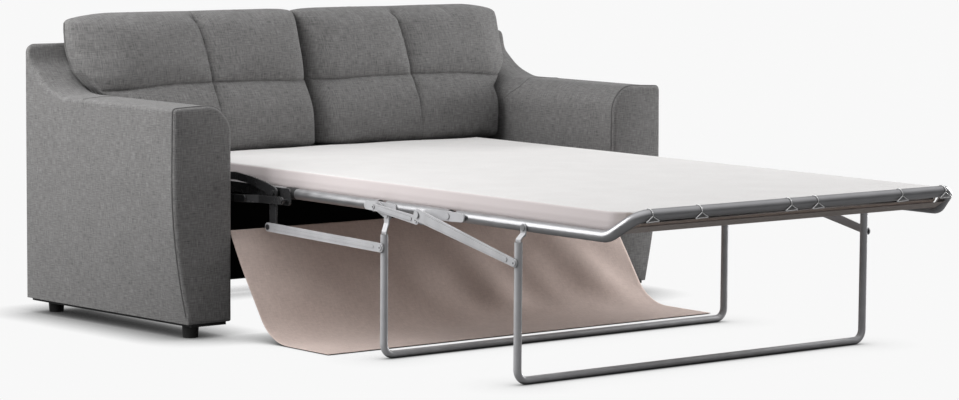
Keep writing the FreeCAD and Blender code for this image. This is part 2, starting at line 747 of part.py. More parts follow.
def make_head_section():
    """The short section at the pillow end: a bent tube frame, hinge plates, deck and mattress."""
    start = size("head_hinge") - size("hinge_gap")
    side, end, high = size("rail_place"), size("head_end"), size("head_high")
    corners = [
        Vector(-side, depth(start), high),
        Vector(-side, depth(end), high),
        Vector(side, depth(end), high),
        Vector(side, depth(start), high),
    ]
    node(tube("head_frame", corners, (0, 70, 70, 0), "head_radius"), "head_frame")

    plate = new_body("head_hinge_body")
    far = place(500, "head_high")
    side_pad(plate, "second_lane", "plate", link_outline(HEAD_HINGE, far, 13, 11))
    side_pad(plate, "rail_place + head_radius", "second_lane - rail_place - head_radius", circle(far, 9))
    cut_hole(plate, "second_lane", "plate", HEAD_HINGE)
    both_sides(plate, "head_hinge_plate")

    node(deck("head_deck_sheet", "head_end", "head_hinge - 8"), "head_deck")
    pad = mattress("mattress_head_pad", size("mattress_head"), size("head_hinge"), False, True)
    node(pad, "mattress_head")


def make_middle_section():
    """The section that stands upright when the bed is folded, with its stiffener and brace pins."""
    start = size("body_hinge") + size("hinge_gap")
    end = size("foot_hinge") - size("hinge_gap")
    both_sides(tube("middle_rail", rail_points(start, end), (0, 0), "rail_radius"), "middle_rail")

    plate = new_body("middle_plate_body")
    near = place(1462, "rail_high")
    side_pad(plate, "rail_side", "plate", link_outline(BODY_HINGE, near, 14, 12))
    bar_chain(plate, "rail_side", "plate", [STIFFENER_END, BRACE_TOP, FOOT_HINGE], (14, 14, 14))
    outer = "rail_side + plate"
    side_pad(plate, outer, f"stiffener_lane - ({outer})", circle(BODY_HINGE, size("pin_radius")))
    side_pad(plate, outer, f"stiffener_lane - ({outer})", circle(STIFFENER_END, 7))
    foot_side = "second_lane + plate + head_play"
    add_pin(plate, FOOT_HINGE, outer, foot_side, foot_side)
    brace_side = "brace_lane + plate + rib + head_play"
    add_pin(plate, BRACE_TOP, outer, brace_side, brace_side)
    both_sides(plate, "middle_hinge_plate")

    stiffener = new_body("stiffener_body")
    outline = link_outline(BODY_HINGE, STIFFENER_END, *STIFFENER_HALVES)
    side_pad(stiffener, "stiffener_lane", "plate", outline)
    span = STIFFENER_END - BODY_HINGE
    ridge = link_outline(BODY_HINGE + span * 0.12, STIFFENER_END - span * 0.12, 5, 5)
    side_pad(stiffener, "stiffener_lane + plate", "rib", ridge)
    for pivot in (BODY_HINGE, STIFFENER_END):
        side_pad(stiffener, "stiffener_lane + plate", "head_thick", circle(pivot, 6))
    both_sides(stiffener, "middle_stiffener")

    node(deck("middle_deck_sheet", "body_hinge + 8", "foot_hinge - 8"), "middle_deck")
    pad = mattress("mattress_middle_pad", size("body_hinge"), size("foot_hinge"), True, True)
    node(pad, "mattress_middle")


def inside_bend(name, sheet):
    """The share of a sheet or mattress that lies inside the rails, where they bend in to the foot bar."""
    half, narrow = size("mattress_half"), size("mattress_half") - FOOT_CORNER_IN
    start, end = size("foot_hinge") - 80, size("bar_place")
    corner = size("bend_start") - FOOT_CORNER_BACK
    plan = [
        (half, depth(start)), (half, depth(corner)), (narrow, depth(size("mattress_foot"))),
        (narrow - 20, depth(end)), (-narrow + 20, depth(end)), (-narrow, depth(size("mattress_foot"))),
        (-half, depth(corner)), (-half, depth(start)),
    ]
    outline = new_body(name + "_plan")
    edges = tangent_run(flat(plan), (0, 30, 12, 0, 0, 12, 30, 0))
    add_pad(outline, "XY_Plane", "deck_low - 10", "mattress_thick + 30", edges)
    shared = DOC.addObject("Part::Common", name)
    shared.Base = sheet
    shared.Tool = outline
    return shared


def make_foot_section():
    """The long section with the raised bar: one bent tube, hinge plates, deck and mattress."""
    side, high = size("rail_place"), size("rail_high")
    start = depth(size("foot_hinge") + size("hinge_gap"))
    bend, bar = depth(size("bend_start")), depth(size("bar_place"))
    bar_high, bar_half = size("bar_high"), size("bar_half")
    corners = [
        Vector(-side, start, high), Vector(-side, bend, high), Vector(-bar_half, bar, bar_high),
        Vector(bar_half, bar, bar_high), Vector(side, bend, high), Vector(side, start, high),
    ]
    frame = tube("foot_frame", corners, (0, 48, 48, 48, 48, 0), "rail_radius")
    pins = []
    for sign in MIRROR_PAIR:
        for name, near, far, radius in (
            ("shank", "rail_place", "front_tab_lane + tab + head_play", "pin_radius"),
            (
                "head", "front_tab_lane + tab + head_play",
                "front_tab_lane + tab + head_play + head_thick", "rivet_head",
            ),
        ):
            pin = DOC.addObject("Part::Cylinder", "leg_pin_" + name)
            pin.setExpression("Radius", cells(radius))
            pin.setExpression("Height", cells(f"({far}) - ({near})"))
            pin.Placement.Rotation = Rotation(Vector(0, 1, 0), 90 * sign)
            pin.setExpression("Placement.Base.x", cells(f"{sign} * ({near})"))
            pin.Placement.Base.y = FRONT_LEG.x
            pin.Placement.Base.z = FRONT_LEG.y
            pins.append(pin)
    node(fuse("foot_frame_with_pins", [frame, *pins]), "foot_frame")

    plate = new_body("foot_hinge_body")
    far = place(1768, "rail_high")
    side_pad(plate, "second_lane", "plate", link_outline(FOOT_HINGE, far, 14, 12))
    side_pad(plate, "rail_side", "second_lane - rail_side", circle(far, 9))
    cut_hole(plate, "second_lane", "plate", FOOT_HINGE)
    both_sides(plate, "foot_hinge_plate")

    foot_deck = deck("foot_deck_sheet", "foot_hinge + 8", "bar_place - 30")
    node(inside_bend("foot_deck_cut", foot_deck), "foot_deck")
    pad = mattress("mattress_foot_pad", size("foot_hinge"), size("mattress_foot"), True, False)
    node(inside_bend("mattress_foot_cut", pad), "mattress_foot")


# ---------------------------------------------------------------- legs and braces


def leg_frame(name, pivot, tab_lane, drops):
    """A U of tube with a floor bar, and flat joggled tabs at the top that the pivot pins pass."""
    side, bar = size("leg_place"), size("leg_bar_high")
    bend_top, bend_foot, tube_top = (pivot.y - drop for drop in drops)
    corners = [
        Vector(-side, pivot.x, tube_top), Vector(-side, pivot.x, bar),
        Vector(side, pivot.x, bar), Vector(side, pivot.x, tube_top),
    ]
    bend = size("leg_bend")
    frame = tube(name, corners, (0, bend, bend, 0), "cross_radius")
    tab = new_body(name + "_tab")
    half_width = 10
    root = tube_top - TAB_ROOT
    side_pad(tab, tab_lane, "tab", link_outline(pivot, Vector(pivot.x, bend_top, 0), 11, half_width))
    inner, thick = size(tab_lane), size("tab")
    middle = side - thick / 2
    # the XZ plane's normal points to -Y, so the pad starts half a width behind the legs
    strip = flat(
        [
            (inner, bend_top), (inner + thick, bend_top), (middle + thick, bend_foot),
            (middle + thick, root), (middle, root), (middle, bend_foot),
        ]
    )
    add_pad(
        tab, "XZ_Plane", f"{-pivot.x - half_width}", f"{2 * half_width}",
        tangent_run(strip, (0,) * 6),
    )
    cut_hole(tab, tab_lane, "tab", pivot)
    other = DOC.addObject("Part::Mirroring", name + "_other_tab")
    other.Source = tab
    other.Normal = Vector(1, 0, 0)
    return fuse(name + "_frame", [frame, tab, other])


def make_legs():
    node(leg_frame("rear_leg_tube", REAR_LEG, "rear_tab_lane", REAR_LEG_TOP), "rear_leg_frame")
    node(leg_frame("front_leg_tube", FRONT_LEG, "front_tab_lane", FRONT_LEG_TOP), "front_leg_frame")


def make_braces():
    """Pressed braces, wide at the top and narrow at the leg, with a raised field along them."""
    brace = new_body("brace_body")
    side_pad(brace, "brace_lane", "plate", link_outline(BRACE_TOP, BRACE_FOOT, 17, 11))
    span = BRACE_FOOT - BRACE_TOP
    field = link_outline(BRACE_TOP + span * 0.1, BRACE_FOOT - span * 0.08, 10, 6)
    side_pad(brace, "brace_lane + plate", "rib", field)
    side_pad(brace, "brace_lane + plate", "head_thick", circle(BRACE_FOOT, size("rivet_head")))
    cut_hole(brace, "brace_lane", "plate", BRACE_TOP)
    both_sides(brace, "leg_brace")


# ---------------------------------------------------------------- build, test, export


def write_parts():
    """Stops on any failed feature or bad shape, then writes one file for each sub-part."""
    DOC.recompute()
    for feature in DOC.Objects:
        failed = [state for state in feature.State if state in ("Invalid", "Error")]
        if failed:
            raise RuntimeError(f"{feature.Label} is {failed[0]}")
    for feature in NODES:
        shape = feature.Shape
        if shape.isNull() or not shape.isValid() or not shape.Solids:
            raise RuntimeError(f"{feature.Label} has no sound shape")
    os.makedirs(PARTS_FOLDER, exist_ok=True)
    for feature in NODES:
        feature.Shape.exportStep(os.path.join(PARTS_FOLDER, feature.Label + ".step"))
        print(feature.Label, len(feature.Shape.Solids), round(feature.Shape.Volume / 1000))


make_arms()
make_base()
make_back()
make_dust_cloth()
make_side_plates()
make_swing_arms()
make_control_links()
make_drag_links()
make_body_section()
make_head_section()
make_middle_section()
make_foot_section()
make_legs()
make_braces()
write_parts()
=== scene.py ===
"""The looks of a two-seat sleeper sofa with its folding bed pulled out, in metres.

Lengths along the depth are given as a distance ahead of the sofa's back, so Y = BACK - ahead. New pieces
are surfaces worked out with numpy on grids of two parameters. The sofa stands still on the body "root", and
each mattress piece lies across one hinge of the bed.
"""

import json
import math

import bmesh
import bpy
import numpy as np
from mathutils import Matrix, Vector


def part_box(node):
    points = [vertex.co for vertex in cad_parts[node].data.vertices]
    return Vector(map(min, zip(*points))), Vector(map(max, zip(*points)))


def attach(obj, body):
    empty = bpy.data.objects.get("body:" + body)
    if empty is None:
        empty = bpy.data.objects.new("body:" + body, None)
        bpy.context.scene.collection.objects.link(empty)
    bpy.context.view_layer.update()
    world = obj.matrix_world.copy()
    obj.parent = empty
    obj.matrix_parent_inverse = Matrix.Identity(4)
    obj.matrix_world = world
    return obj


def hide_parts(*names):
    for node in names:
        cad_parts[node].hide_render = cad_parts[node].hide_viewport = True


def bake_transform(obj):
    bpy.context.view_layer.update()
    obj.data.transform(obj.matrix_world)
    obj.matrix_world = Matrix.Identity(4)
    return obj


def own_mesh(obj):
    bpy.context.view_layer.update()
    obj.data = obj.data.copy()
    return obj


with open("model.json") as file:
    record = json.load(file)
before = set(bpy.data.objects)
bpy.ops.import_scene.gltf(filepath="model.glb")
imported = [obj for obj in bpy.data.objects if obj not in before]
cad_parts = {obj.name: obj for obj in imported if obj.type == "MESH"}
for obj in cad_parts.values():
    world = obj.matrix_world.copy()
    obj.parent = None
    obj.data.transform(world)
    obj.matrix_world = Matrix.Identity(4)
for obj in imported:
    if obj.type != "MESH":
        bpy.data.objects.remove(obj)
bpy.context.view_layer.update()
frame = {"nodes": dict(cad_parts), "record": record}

BACK = 1.218
ARM_BACK, ARM_IN, ARM_OUT, ARM_TOE = 0.012, 0.741, 0.940, 0.889
ARM_LOW, ARM_TOP = 0.045, 0.678
FACING_BACK = 0.815
SEAM_HIGH = 0.70
RAIL_MIDDLE, RAIL_OUT, RAIL_HIGH = 0.617, 0.633, 0.425
HEAD_HINGE, BODY_HINGE, FOOT_HINGE = 0.590, 1.395, 1.710
MATTRESS_LOW, MATTRESS_TOP, MATTRESS_HALF = 0.432, 0.492, 0.600
CLOTH_THICKNESS = 0.0012
PIPING_RADIUS = 0.0028
SHARP_ANGLE = math.radians(66)
SLANT = np.array([0.31, 0.17, 0.93])
SIDES = (("right", np.array([1.0, 1.0, 1.0])), ("left", np.array([-1.0, 1.0, 1.0])))


# ---------------------------------------------------------------- meshes from grids of points


def grid_faces(rows, columns, around):
    """Quads between neighbours of a grid; with around, the last column joins the first."""
    starts = columns if around else columns - 1
    row, column = np.meshgrid(np.arange(rows - 1), np.arange(starts), indexing="ij")
    following = (column + 1) % columns
    corners = [row * columns + column, row * columns + following]
    corners += [(row + 1) * columns + following, (row + 1) * columns + column]
    return np.stack(corners, axis=-1).reshape(-1, 4)


def end_caps(rings, around):
    """The first and the last of a tube's rings, as the point numbers of one face each."""
    return np.arange(around)[::-1], (rings - 1) * around + np.arange(around)


def outward(mesh, merge=1e-5):
    """Merges doubled points and turns every face outwards."""
    work = bmesh.new()
    work.from_mesh(mesh)
    bmesh.ops.remove_doubles(work, verts=work.verts, dist=merge)
    bmesh.ops.dissolve_degenerate(work, edges=work.edges, dist=0.1 * merge)
    bmesh.ops.recalc_face_normals(work, faces=work.faces)
    work.to_mesh(mesh)
    work.free()


def piece(name, points, faces, material, caps=(), lengths=None, closed=True, merge=1e-5):
    """An object from an array of points and quads; caps are rings of point numbers that get one face each.

    lengths holds, for each point, its two distances over the surface, in metres, for a UV map.
    """
    mesh = bpy.data.meshes.new(name)
    all_faces = [list(map(int, face)) for face in faces] + [list(map(int, cap)) for cap in caps]
    mesh.from_pydata(points.reshape(-1, 3).tolist(), [], all_faces)
    if lengths is not None:
        corner_point = np.empty(len(mesh.loops), np.int32)
        mesh.loops.foreach_get("vertex_index", corner_point)
        layer = mesh.uv_layers.new(name="surface")
        layer.data.foreach_set("uv", lengths.reshape(-1, 2)[corner_point].astype(np.float32).ravel())
    if closed:
        outward(mesh, merge)
    mesh.polygons.foreach_set("use_smooth", np.ones(len(mesh.polygons), bool))
    mesh.set_sharp_from_angle(angle=SHARP_ANGLE)
    mesh.materials.append(material)
    made = bpy.data.objects.new(name, mesh)
    bpy.context.scene.collection.objects.link(made)
    return made


def rounded_line(corners, reaches, per_corner, per_run=1):
    """A line through corners whose turns are quadratic curves, worked out for many stations at once.

    corners is (stations, count, 2) and reaches (stations, count): the curve at corner P starts at
    A = P - reach * heading in, ends at B = P + reach * heading out, and is (1-t)^2 A + 2t(1-t) P + t^2 B.
    Each straight run gets per_run points of its own between its curves.
    """
    ahead = np.diff(corners, axis=1)
    heading = ahead / np.maximum(np.linalg.norm(ahead, axis=2, keepdims=True), 1e-9)
    run = []
    t = np.linspace(0, 1, per_corner)[None, :, None]
    last = corners.shape[1] - 1
    ends = []
    for index in range(last + 1):
        corner = corners[:, index]
        if index in (0, last):
            ends.append((corner[:, None], corner, corner))
            continue
        reach = reaches[:, index][:, None]
        start, end = corner - reach * heading[:, index - 1], corner + reach * heading[:, index]
        curve = (1 - t) ** 2 * start[:, None] + 2 * t * (1 - t) * corner[:, None] + t**2 * end[:, None]
        ends.append((curve, start, end))
    for index, (curve, _, end) in enumerate(ends):
        run.append(curve)
        if index < last and per_run:
            share = (np.arange(1, per_run + 1) / (per_run + 1))[None, :, None]
            run.append(end[:, None] * (1 - share) + ends[index + 1][1][:, None] * share)
    return np.concatenate(run, axis=1)


def tube_rings(path, radius, sides):
    """Rings of points round a path: centre + radius (cos a * side + sin a * over).

    side is square to the path and to one slanting direction, and over is square to the path and to side.
    """
    heading = np.gradient(path, axis=0)
    heading /= np.maximum(np.linalg.norm(heading, axis=1, keepdims=True), 1e-9)
    side = np.cross(heading, SLANT)
    side /= np.linalg.norm(side, axis=1, keepdims=True)
    over = np.cross(side, heading)
    angle = np.linspace(0, 2 * np.pi, sides, endpoint=False)[None, :, None]
    radius = np.broadcast_to(np.asarray(radius, float).reshape(-1, 1, 1), (len(path), 1, 1))
    return path[:, None] + radius * (np.cos(angle) * side[:, None] + np.sin(angle) * over[:, None])


def rod(name, path, radius, material, sides):
    """A round rod along a path, closed at both ends; its radius is one number or one for each point."""
    rings = tube_rings(path, radius, sides)
    return piece(name, rings, grid_faces(len(path), sides, True), material, end_caps(len(path), sides))


def smooth(value, start, end):
    """0 before start and 1 after end, and 3t^2 - 2t^3 between them."""
    t = np.clip((value - start) / (end - start), 0, 1)
    return t * t * (3 - 2 * t)


def sections_at(section, ahead):
    """Points of cross sections in X and Z, each placed at its own distance ahead of the back."""
    y = np.broadcast_to((BACK - ahead)[:, None], section.shape[:2])
    return np.stack([section[..., 0], y, section[..., 1]], axis=-1)


def thicken(made):
    """Gives a cloth of one layer its thickness, half of it to each side."""
    thick = made.modifiers.new("thickness", "SOLIDIFY")
    thick.thickness = CLOTH_THICKNESS
    thick.offset = 0


def read_points(mesh, what="co"):
    """A mesh's points or point normals as an array."""
    values = np.empty(len(mesh.vertices) * 3, np.float32)
    mesh.vertices.foreach_get(what, values)
    return values.reshape(-1, 3).astype(float)


def write_points(mesh, points):
    """Moves a mesh's points to the places in an array."""
    mesh.vertices.foreach_set("co", points.astype(np.float32).ravel())
    mesh.update()


# ---------------------------------------------------------------- shader helpers


def node_group(name, inputs, outputs):
    """An empty shader node group with named inputs (name, kind, value) and outputs (name, kind)."""
    group = bpy.data.node_groups.new(name, "ShaderNodeTree")
    for label, kind, value in inputs:
        socket = group.interface.new_socket(label, in_out="INPUT", socket_type=kind)
        if value is not None:
            socket.default_value = value
    for label, kind in outputs:
        group.interface.new_socket(label, in_out="OUTPUT", socket_type=kind)
    return group, group.nodes.new("NodeGroupInput"), group.nodes.new("NodeGroupOutput")


class Shader:
    """Short ways to add nodes to a tree and to join them."""

    def __init__(self, tree):
        self.tree = tree

    def add(self, kind, links=None, **settings):
        made = self.tree.nodes.new(kind)
        for name, value in settings.items():
            setattr(made, name, value)
        for name, value in (links or {}).items():
            socket = made.inputs[name]
            if isinstance(value, bpy.types.NodeSocket):
                self.tree.links.new(value, socket)
            else:
                socket.default_value = value
        return made

    def math(self, operation, first, second=0.0, third=None):
        links = {0: first, 1: second}
        if third is not None:
            links[2] = third
        return self.add("ShaderNodeMath", links, operation=operation).outputs[0]

    def mix(self, share, first, second):
        made = self.add("ShaderNodeMix", {0: share}, data_type="RGBA")
        for index, value in ((6, first), (7, second)):
            if isinstance(value, bpy.types.NodeSocket):
                self.tree.links.new(value, made.inputs[index])
            else:
                made.inputs[index].default_value = value
        return made.outputs[2]

    def either(self, share, first, second):
        return self.add("ShaderNodeMix", {0: share, 2: first, 3: second}).outputs[0]

    def noise(self, vector, scale, detail, rough=0.5):
        links = {"Vector": vector, "Scale": scale, "Detail": detail, "Roughness": rough}
        return self.add("ShaderNodeTexNoise", links).outputs["Fac"]

    def span(self, value, low, high, to_low, to_high):
        links = {"Value": value, 1: low, 2: high, 3: to_low, 4: to_high}
        return self.add("ShaderNodeMapRange", links, clamp=True).outputs[0]


def make_facing_plane():
    """Node group: two coordinates in the plane that a surface mostly faces, from Object place and normal."""
    group, _, result = node_group("facing_plane", [], [("Plane", "NodeSocketVector")])
    use = Shader(group)
    source = use.add("ShaderNodeTexCoord")
    place = use.add("ShaderNodeSeparateXYZ", {0: source.outputs["Object"]})
    normal = use.add("ShaderNodeSeparateXYZ", {0: source.outputs["Normal"]})
    size = [use.math("ABSOLUTE", normal.outputs[axis]) for axis in range(3)]
    sideways = use.math("GREATER_THAN", size[0], use.math("MAXIMUM", size[1], size[2]))
    upwards = use.math("GREATER_THAN", size[2], use.math("MAXIMUM", size[0], size[1]))
    first = use.either(sideways, place.outputs[0], place.outputs[1])
    second = use.either(upwards, place.outputs[2], place.outputs[1])
    both = use.add("ShaderNodeCombineXYZ", {0: first, 1: second, 2: 0.0})
    group.links.new(both.outputs[0], result.inputs[0])
    return group


YARNS_APART, SETS_APART = 0.37, 7.0


def make_woven():
    """Node group: a plain weave of uneven yarns.

    Yarns run both ways at Pitch metres; Height is the crest of the upper yarn, |sin| across it, and Shade
    is each yarn's own lightness, a noise stretched along it by Slub.
    """
    inputs = [
        ("Plane", "NodeSocketVector", None), ("Pitch", "NodeSocketFloat", 0.002),
        ("Slub", "NodeSocketFloat", 9.0),
    ]
    outputs = [("Height", "NodeSocketFloat"), ("Shade", "NodeSocketFloat")]
    group, given, result = node_group("woven", inputs, outputs)
    use = Shader(group)
    place = use.add("ShaderNodeSeparateXYZ", {0: given.outputs["Plane"]})
    count = [use.math("DIVIDE", place.outputs[axis], given.outputs["Pitch"]) for axis in range(2)]
    crest = [
        use.math("ABSOLUTE", use.math("SINE", use.math("MULTIPLY", value, math.pi))) for value in count
    ]
    parity = [use.math("FLOOR", value) for value in count]
    over = use.math("PINGPONG", use.math("ADD", parity[0], parity[1]), 1.0)
    along = []
    for axis in range(2):
        other = use.math("DIVIDE", count[1 - axis], given.outputs["Slub"])
        own = use.math("MULTIPLY", parity[axis], YARNS_APART)
        vector = use.add("ShaderNodeCombineXYZ", {0: own, 1: other, 2: SETS_APART * axis})
        along.append(use.noise(vector.outputs[0], 1.0, 1.0))
    group.links.new(use.either(over, crest[0], crest[1]), result.inputs["Height"])
    group.links.new(use.either(over, along[0], along[1]), result.inputs["Shade"])
    return group


def make_wear_and_painted_light():
    """Node group: how coated steel wears, and the light and shade painted on it, from Object coordinates
    and the shape of the part.

    Clouds and Peel are a wide and a very fine noise. The third output is 1 on sharp edges, where the
    surface's own normal and one bevelled by Edge metres part, and less between the clouds: paler rubbed edges
    that also serve as a painted edge highlight. The last output is painted shade, which falls in corners that
    are closed in within Reach metres.
    """
    inputs = [("Edge", "NodeSocketFloat", 0.0014), ("Reach", "NodeSocketFloat", 0.014)]
    outputs = [(label, "NodeSocketFloat") for label in ("Clouds", "Peel", "Rubbed_And_Highlit", "Out_Of_Painted_Shade")]
    group, given, result = node_group("wear_and_painted_light", inputs, outputs)
    use = Shader(group)
    place = use.add("ShaderNodeTexCoord").outputs["Object"]
    clouds = use.noise(place, 22.0, 3.0)
    flat = use.add("ShaderNodeNewGeometry").outputs["Normal"]
    # edge mask: paler rubbed edges, which also act as a painted edge highlight
    bevelled = use.add("ShaderNodeBevel", {"Radius": given.outputs["Edge"]}).outputs[0]
    alike = use.add("ShaderNodeVectorMath", {0: flat, 1: bevelled}, operation="DOT_PRODUCT").outputs["Value"]
    turned = use.span(alike, 0.90, 0.99, 1.0, 0.0)
    # painted shade: ambient occlusion within Reach darkens corners closed in by other parts
    painted_shade_ao = use.add("ShaderNodeAmbientOcclusion", {"Distance": given.outputs["Reach"]}, samples=8)
    for label, value in (
        ("Clouds", clouds),
        ("Peel", use.noise(place, 900.0, 1.0)),
        ("Rubbed_And_Highlit", use.math("MULTIPLY", turned, use.span(clouds, 0.35, 0.65, 0.5, 1.0))),
        ("Out_Of_Painted_Shade", use.span(painted_shade_ao.outputs["AO"], 0.35, 0.9, 0.25, 1.0)),
    ):
        group.links.new(value, result.inputs[label])
    return group


FACING_PLANE = make_facing_plane()
WOVEN = make_woven()
WEAR_AND_PAINTED_LIGHT = make_wear_and_painted_light()


def new_material(name, shader_values):
    """A material with one Principled shader, and the helper that adds nodes to it."""
    made = bpy.data.materials.new(name)
    made.use_nodes = True
    tree = made.node_tree
    shader = tree.nodes["Principled BSDF"]
    for socket, value in shader_values.items():
        shader.inputs[socket].default_value = value
    return made, Shader(tree), shader


def finish_material(use, shader, colour, height, strength, distance, rough=None):
    """Joins the colour, the bump and, where it varies, the roughness of a material to its shader."""
    use.tree.links.new(colour, shader.inputs["Base Color"])
    bump = use.add("ShaderNodeBump", {"Strength": strength, "Distance": distance, "Height": height})
    use.tree.links.new(bump.outputs[0], shader.inputs["Normal"])
    if rough is not None:
        use.tree.links.new(rough, shader.inputs["Roughness"])


def lighter(tone, times):
    """A colour made lighter by a factor."""
    return tuple(part * times for part in tone[:3]) + (1,)


def linen(name, dark, light, thread=0.0027):
    """Upholstery linen: melange yarns of uneven thickness woven both ways, faint clouds and a soft sheen.

    Each yarn is a noise drawn out along it, ten times as long as wide, and the two sets lie over each other.
    """
    made, use, shader = new_material(
        name, {"Roughness": 0.92, "Sheen Weight": 0.12, "Sheen Roughness": 0.5, "Specular IOR Level": 0.15}
    )
    plane = use.add("ShaderNodeGroup", node_tree=FACING_PLANE).outputs[0]
    weave = use.add("ShaderNodeGroup", {"Plane": plane, "Pitch": 0.6 * thread}, node_tree=WOVEN)
    yarns = []
    for drawn in ((1.0, 0.10, 1.0), (0.10, 1.0, 1.0)):
        stretched = use.add("ShaderNodeVectorMath", {0: plane, 1: drawn}, operation="MULTIPLY").outputs[0]
        yarns.append(use.noise(stretched, 1.0 / thread, 2.0, 0.55))
    both = use.math("ADD", yarns[0], yarns[1])
    clouds = use.noise(use.add("ShaderNodeTexCoord").outputs["Object"], 11.0, 3.0)
    shade = use.math("MULTIPLY_ADD", use.math("ADD", both, -1.0), 1.1, 0.5)
    shade = use.math("ADD", shade, use.math("MULTIPLY_ADD", clouds, 0.22, -0.11))
    shade = use.math("MULTIPLY_ADD", weave.outputs["Height"], 0.12, shade)
    colour = use.mix(use.span(shade, 0.1, 1.0, 0.0, 1.0), dark, light)
    height = use.math("MULTIPLY_ADD", both, 0.5, weave.outputs["Height"])
    finish_material(use, shader, colour, height=height, strength=0.22, distance=0.0008)
    return made


COTTON = {"Roughness": 0.9, "Sheen Weight": 0.1, "Specular IOR Level": 0.25}


def surface_weave(use, pitch, slub):
    """A weave along the piece's own surface lengths: its height, and its shade with faint clouds."""
    place = use.add("ShaderNodeTexCoord").outputs["UV"]
    weave = use.add("ShaderNodeGroup", {"Plane": place, "Pitch": pitch, "Slub": slub}, node_tree=WOVEN)
    clouds = use.noise(place, 9.0, 3.0)
    shade = use.math("ADD", weave.outputs["Shade"], use.math("MULTIPLY_ADD", clouds, 0.5, -0.25))
    return weave.outputs["Height"], shade


def plain_cloth(name, dark, light, pitch, slub, bump):
    """A plain woven cloth whose yarns follow the piece's own surface lengths."""
    made, use, shader = new_material(name, COTTON)
    height, shade = surface_weave(use, pitch, slub)
    shade = use.math("MULTIPLY_ADD", height, 0.15, shade)
    colour = use.mix(use.span(shade, 0.2, 0.9, 0.0, 1.0), dark, light)
    finish_material(use, shader, colour, height=height, strength=bump, distance=0.0006)
    return made


def ticking(name, dark, light, border, painted_shade_foot_border):
    """Mattress cloth: a fine pale weave above, a pinker border on the upright sides, and a darker colour on
    the end face at the foot as painted shade.
    """
    made, use, shader = new_material(name, COTTON)
    height, shade = surface_weave(use, 0.0011, 6.0)
    above = use.mix(use.span(shade, 0.2, 0.9, 0.0, 1.0), dark, light)
    facing = use.add("ShaderNodeSeparateXYZ", {0: use.add("ShaderNodeTexCoord").outputs["Normal"]}).outputs
    # painted shade: the border turns darker on faces towards the foot, the mattress's end face
    sides = use.mix(use.span(facing[1], -0.8, -0.3, 1.0, 0.0), border, painted_shade_foot_border)
    colour = use.mix(use.span(facing[2], 0.5, 0.8, 0.0, 1.0), sides, above)
    finish_material(use, shader, colour, height=height, strength=0.12, distance=0.0006)
    return made


def coated_steel(name, tone, metallic, rough, rubbed_and_highlight):
    """Satin coated steel: fine orange-peel, cloudy gloss, paler rubbed edges that also serve as a painted
    edge highlight, and painted shade that darkens the corners.
    """
    made, use, shader = new_material(name, {"Metallic": metallic, "Coat Weight": 0.12, "Coat Roughness": 0.3})
    wear_and_light = use.add("ShaderNodeGroup", node_tree=WEAR_AND_PAINTED_LIGHT).outputs
    base = use.mix(use.span(wear_and_light["Clouds"], 0.3, 0.7, 0.0, 1.0), tone, lighter(tone, 1.12))
    # painted shade: the colour goes towards near black in corners closed in by other parts
    base = use.mix(wear_and_light["Out_Of_Painted_Shade"], (0.02, 0.02, 0.02, 1), base)
    # paler rubbed edges, mixed in up to 0.7, which also act as a painted edge highlight
    colour = use.mix(use.math("MULTIPLY", wear_and_light["Rubbed_And_Highlit"], 0.7), base, rubbed_and_highlight)
    gloss = use.span(wear_and_light["Clouds"], 0.3, 0.7, rough - 0.05, rough + 0.07)
    finish_material(use, shader, colour, wear_and_light["Peel"], strength=0.05, distance=0.0002, rough=gloss)
    return made


def moulded(name, tone, rough, grain=700.0, strength=0.15):
    """Moulded plastic or lining with a fine grain."""
    made, use, shader = new_material(name, {"Specular IOR Level": 0.35})
    place = use.add("ShaderNodeTexCoord").outputs["Object"]
    fine = use.noise(place, grain, 2.0)
    clouds = use.noise(place, 18.0, 3.0)
    colour = use.mix(use.span(clouds, 0.3, 0.7, 0.0, 1.0), tone, lighter(tone, 1.5))
    gloss = use.span(clouds, 0.3, 0.7, rough - 0.06, rough + 0.06)
    finish_material(use, shader, colour, fine, strength=strength, distance=0.0004, rough=gloss)
    return made


LINEN = linen("grey_linen", (0.085, 0.083, 0.082, 1), (0.26, 0.256, 0.253, 1))
PIPING = linen("grey_piping", (0.066, 0.065, 0.064, 1), (0.205, 0.202, 0.20, 1), 0.002)
# the last colour is painted shade for the mattress's end face at the foot
TICKING = ticking(
    "mattress_cloth", (0.69, 0.675, 0.665, 1), (0.79, 0.78, 0.77, 1),
    border=(0.72, 0.655, 0.65, 1), painted_shade_foot_border=(0.62, 0.55, 0.50, 1),
)
DUST = plain_cloth("taupe_dust_cloth", (0.52, 0.415, 0.375, 1), (0.72, 0.595, 0.54, 1), 0.0016, 14.0, 0.3)
DECK = plain_cloth("deck_cloth", (0.45, 0.395, 0.365, 1), (0.66, 0.585, 0.545, 1), 0.0022, 8.0, 0.4)
# the last colour of each steel is for its paler rubbed edges and painted edge highlight
SILVER = coated_steel("silver_steel", (0.39, 0.39, 0.40, 1), 0.92, 0.38, (0.75, 0.75, 0.75, 1))
PAINTED = coated_steel("silver_paint", (0.57, 0.57, 0.585, 1), 0.25, 0.42, (0.72, 0.72, 0.72, 1))
DARK_STEEL = coated_steel("dark_steel", (0.085, 0.085, 0.088, 1), 0.65, 0.26, (0.60, 0.60, 0.60, 1))
WIRE = coated_steel("bright_wire", (0.80, 0.80, 0.80, 1), 0.35, 0.35, (0.9, 0.9, 0.9, 1))
BLACK_PLASTIC = moulded("black_plastic", (0.012, 0.012, 0.012, 1), 0.45)
LINING = moulded("black_lining", (0.006, 0.006, 0.006, 1), 0.85, 1400.0, 0.3)


# ---------------------------------------------------------------- arms

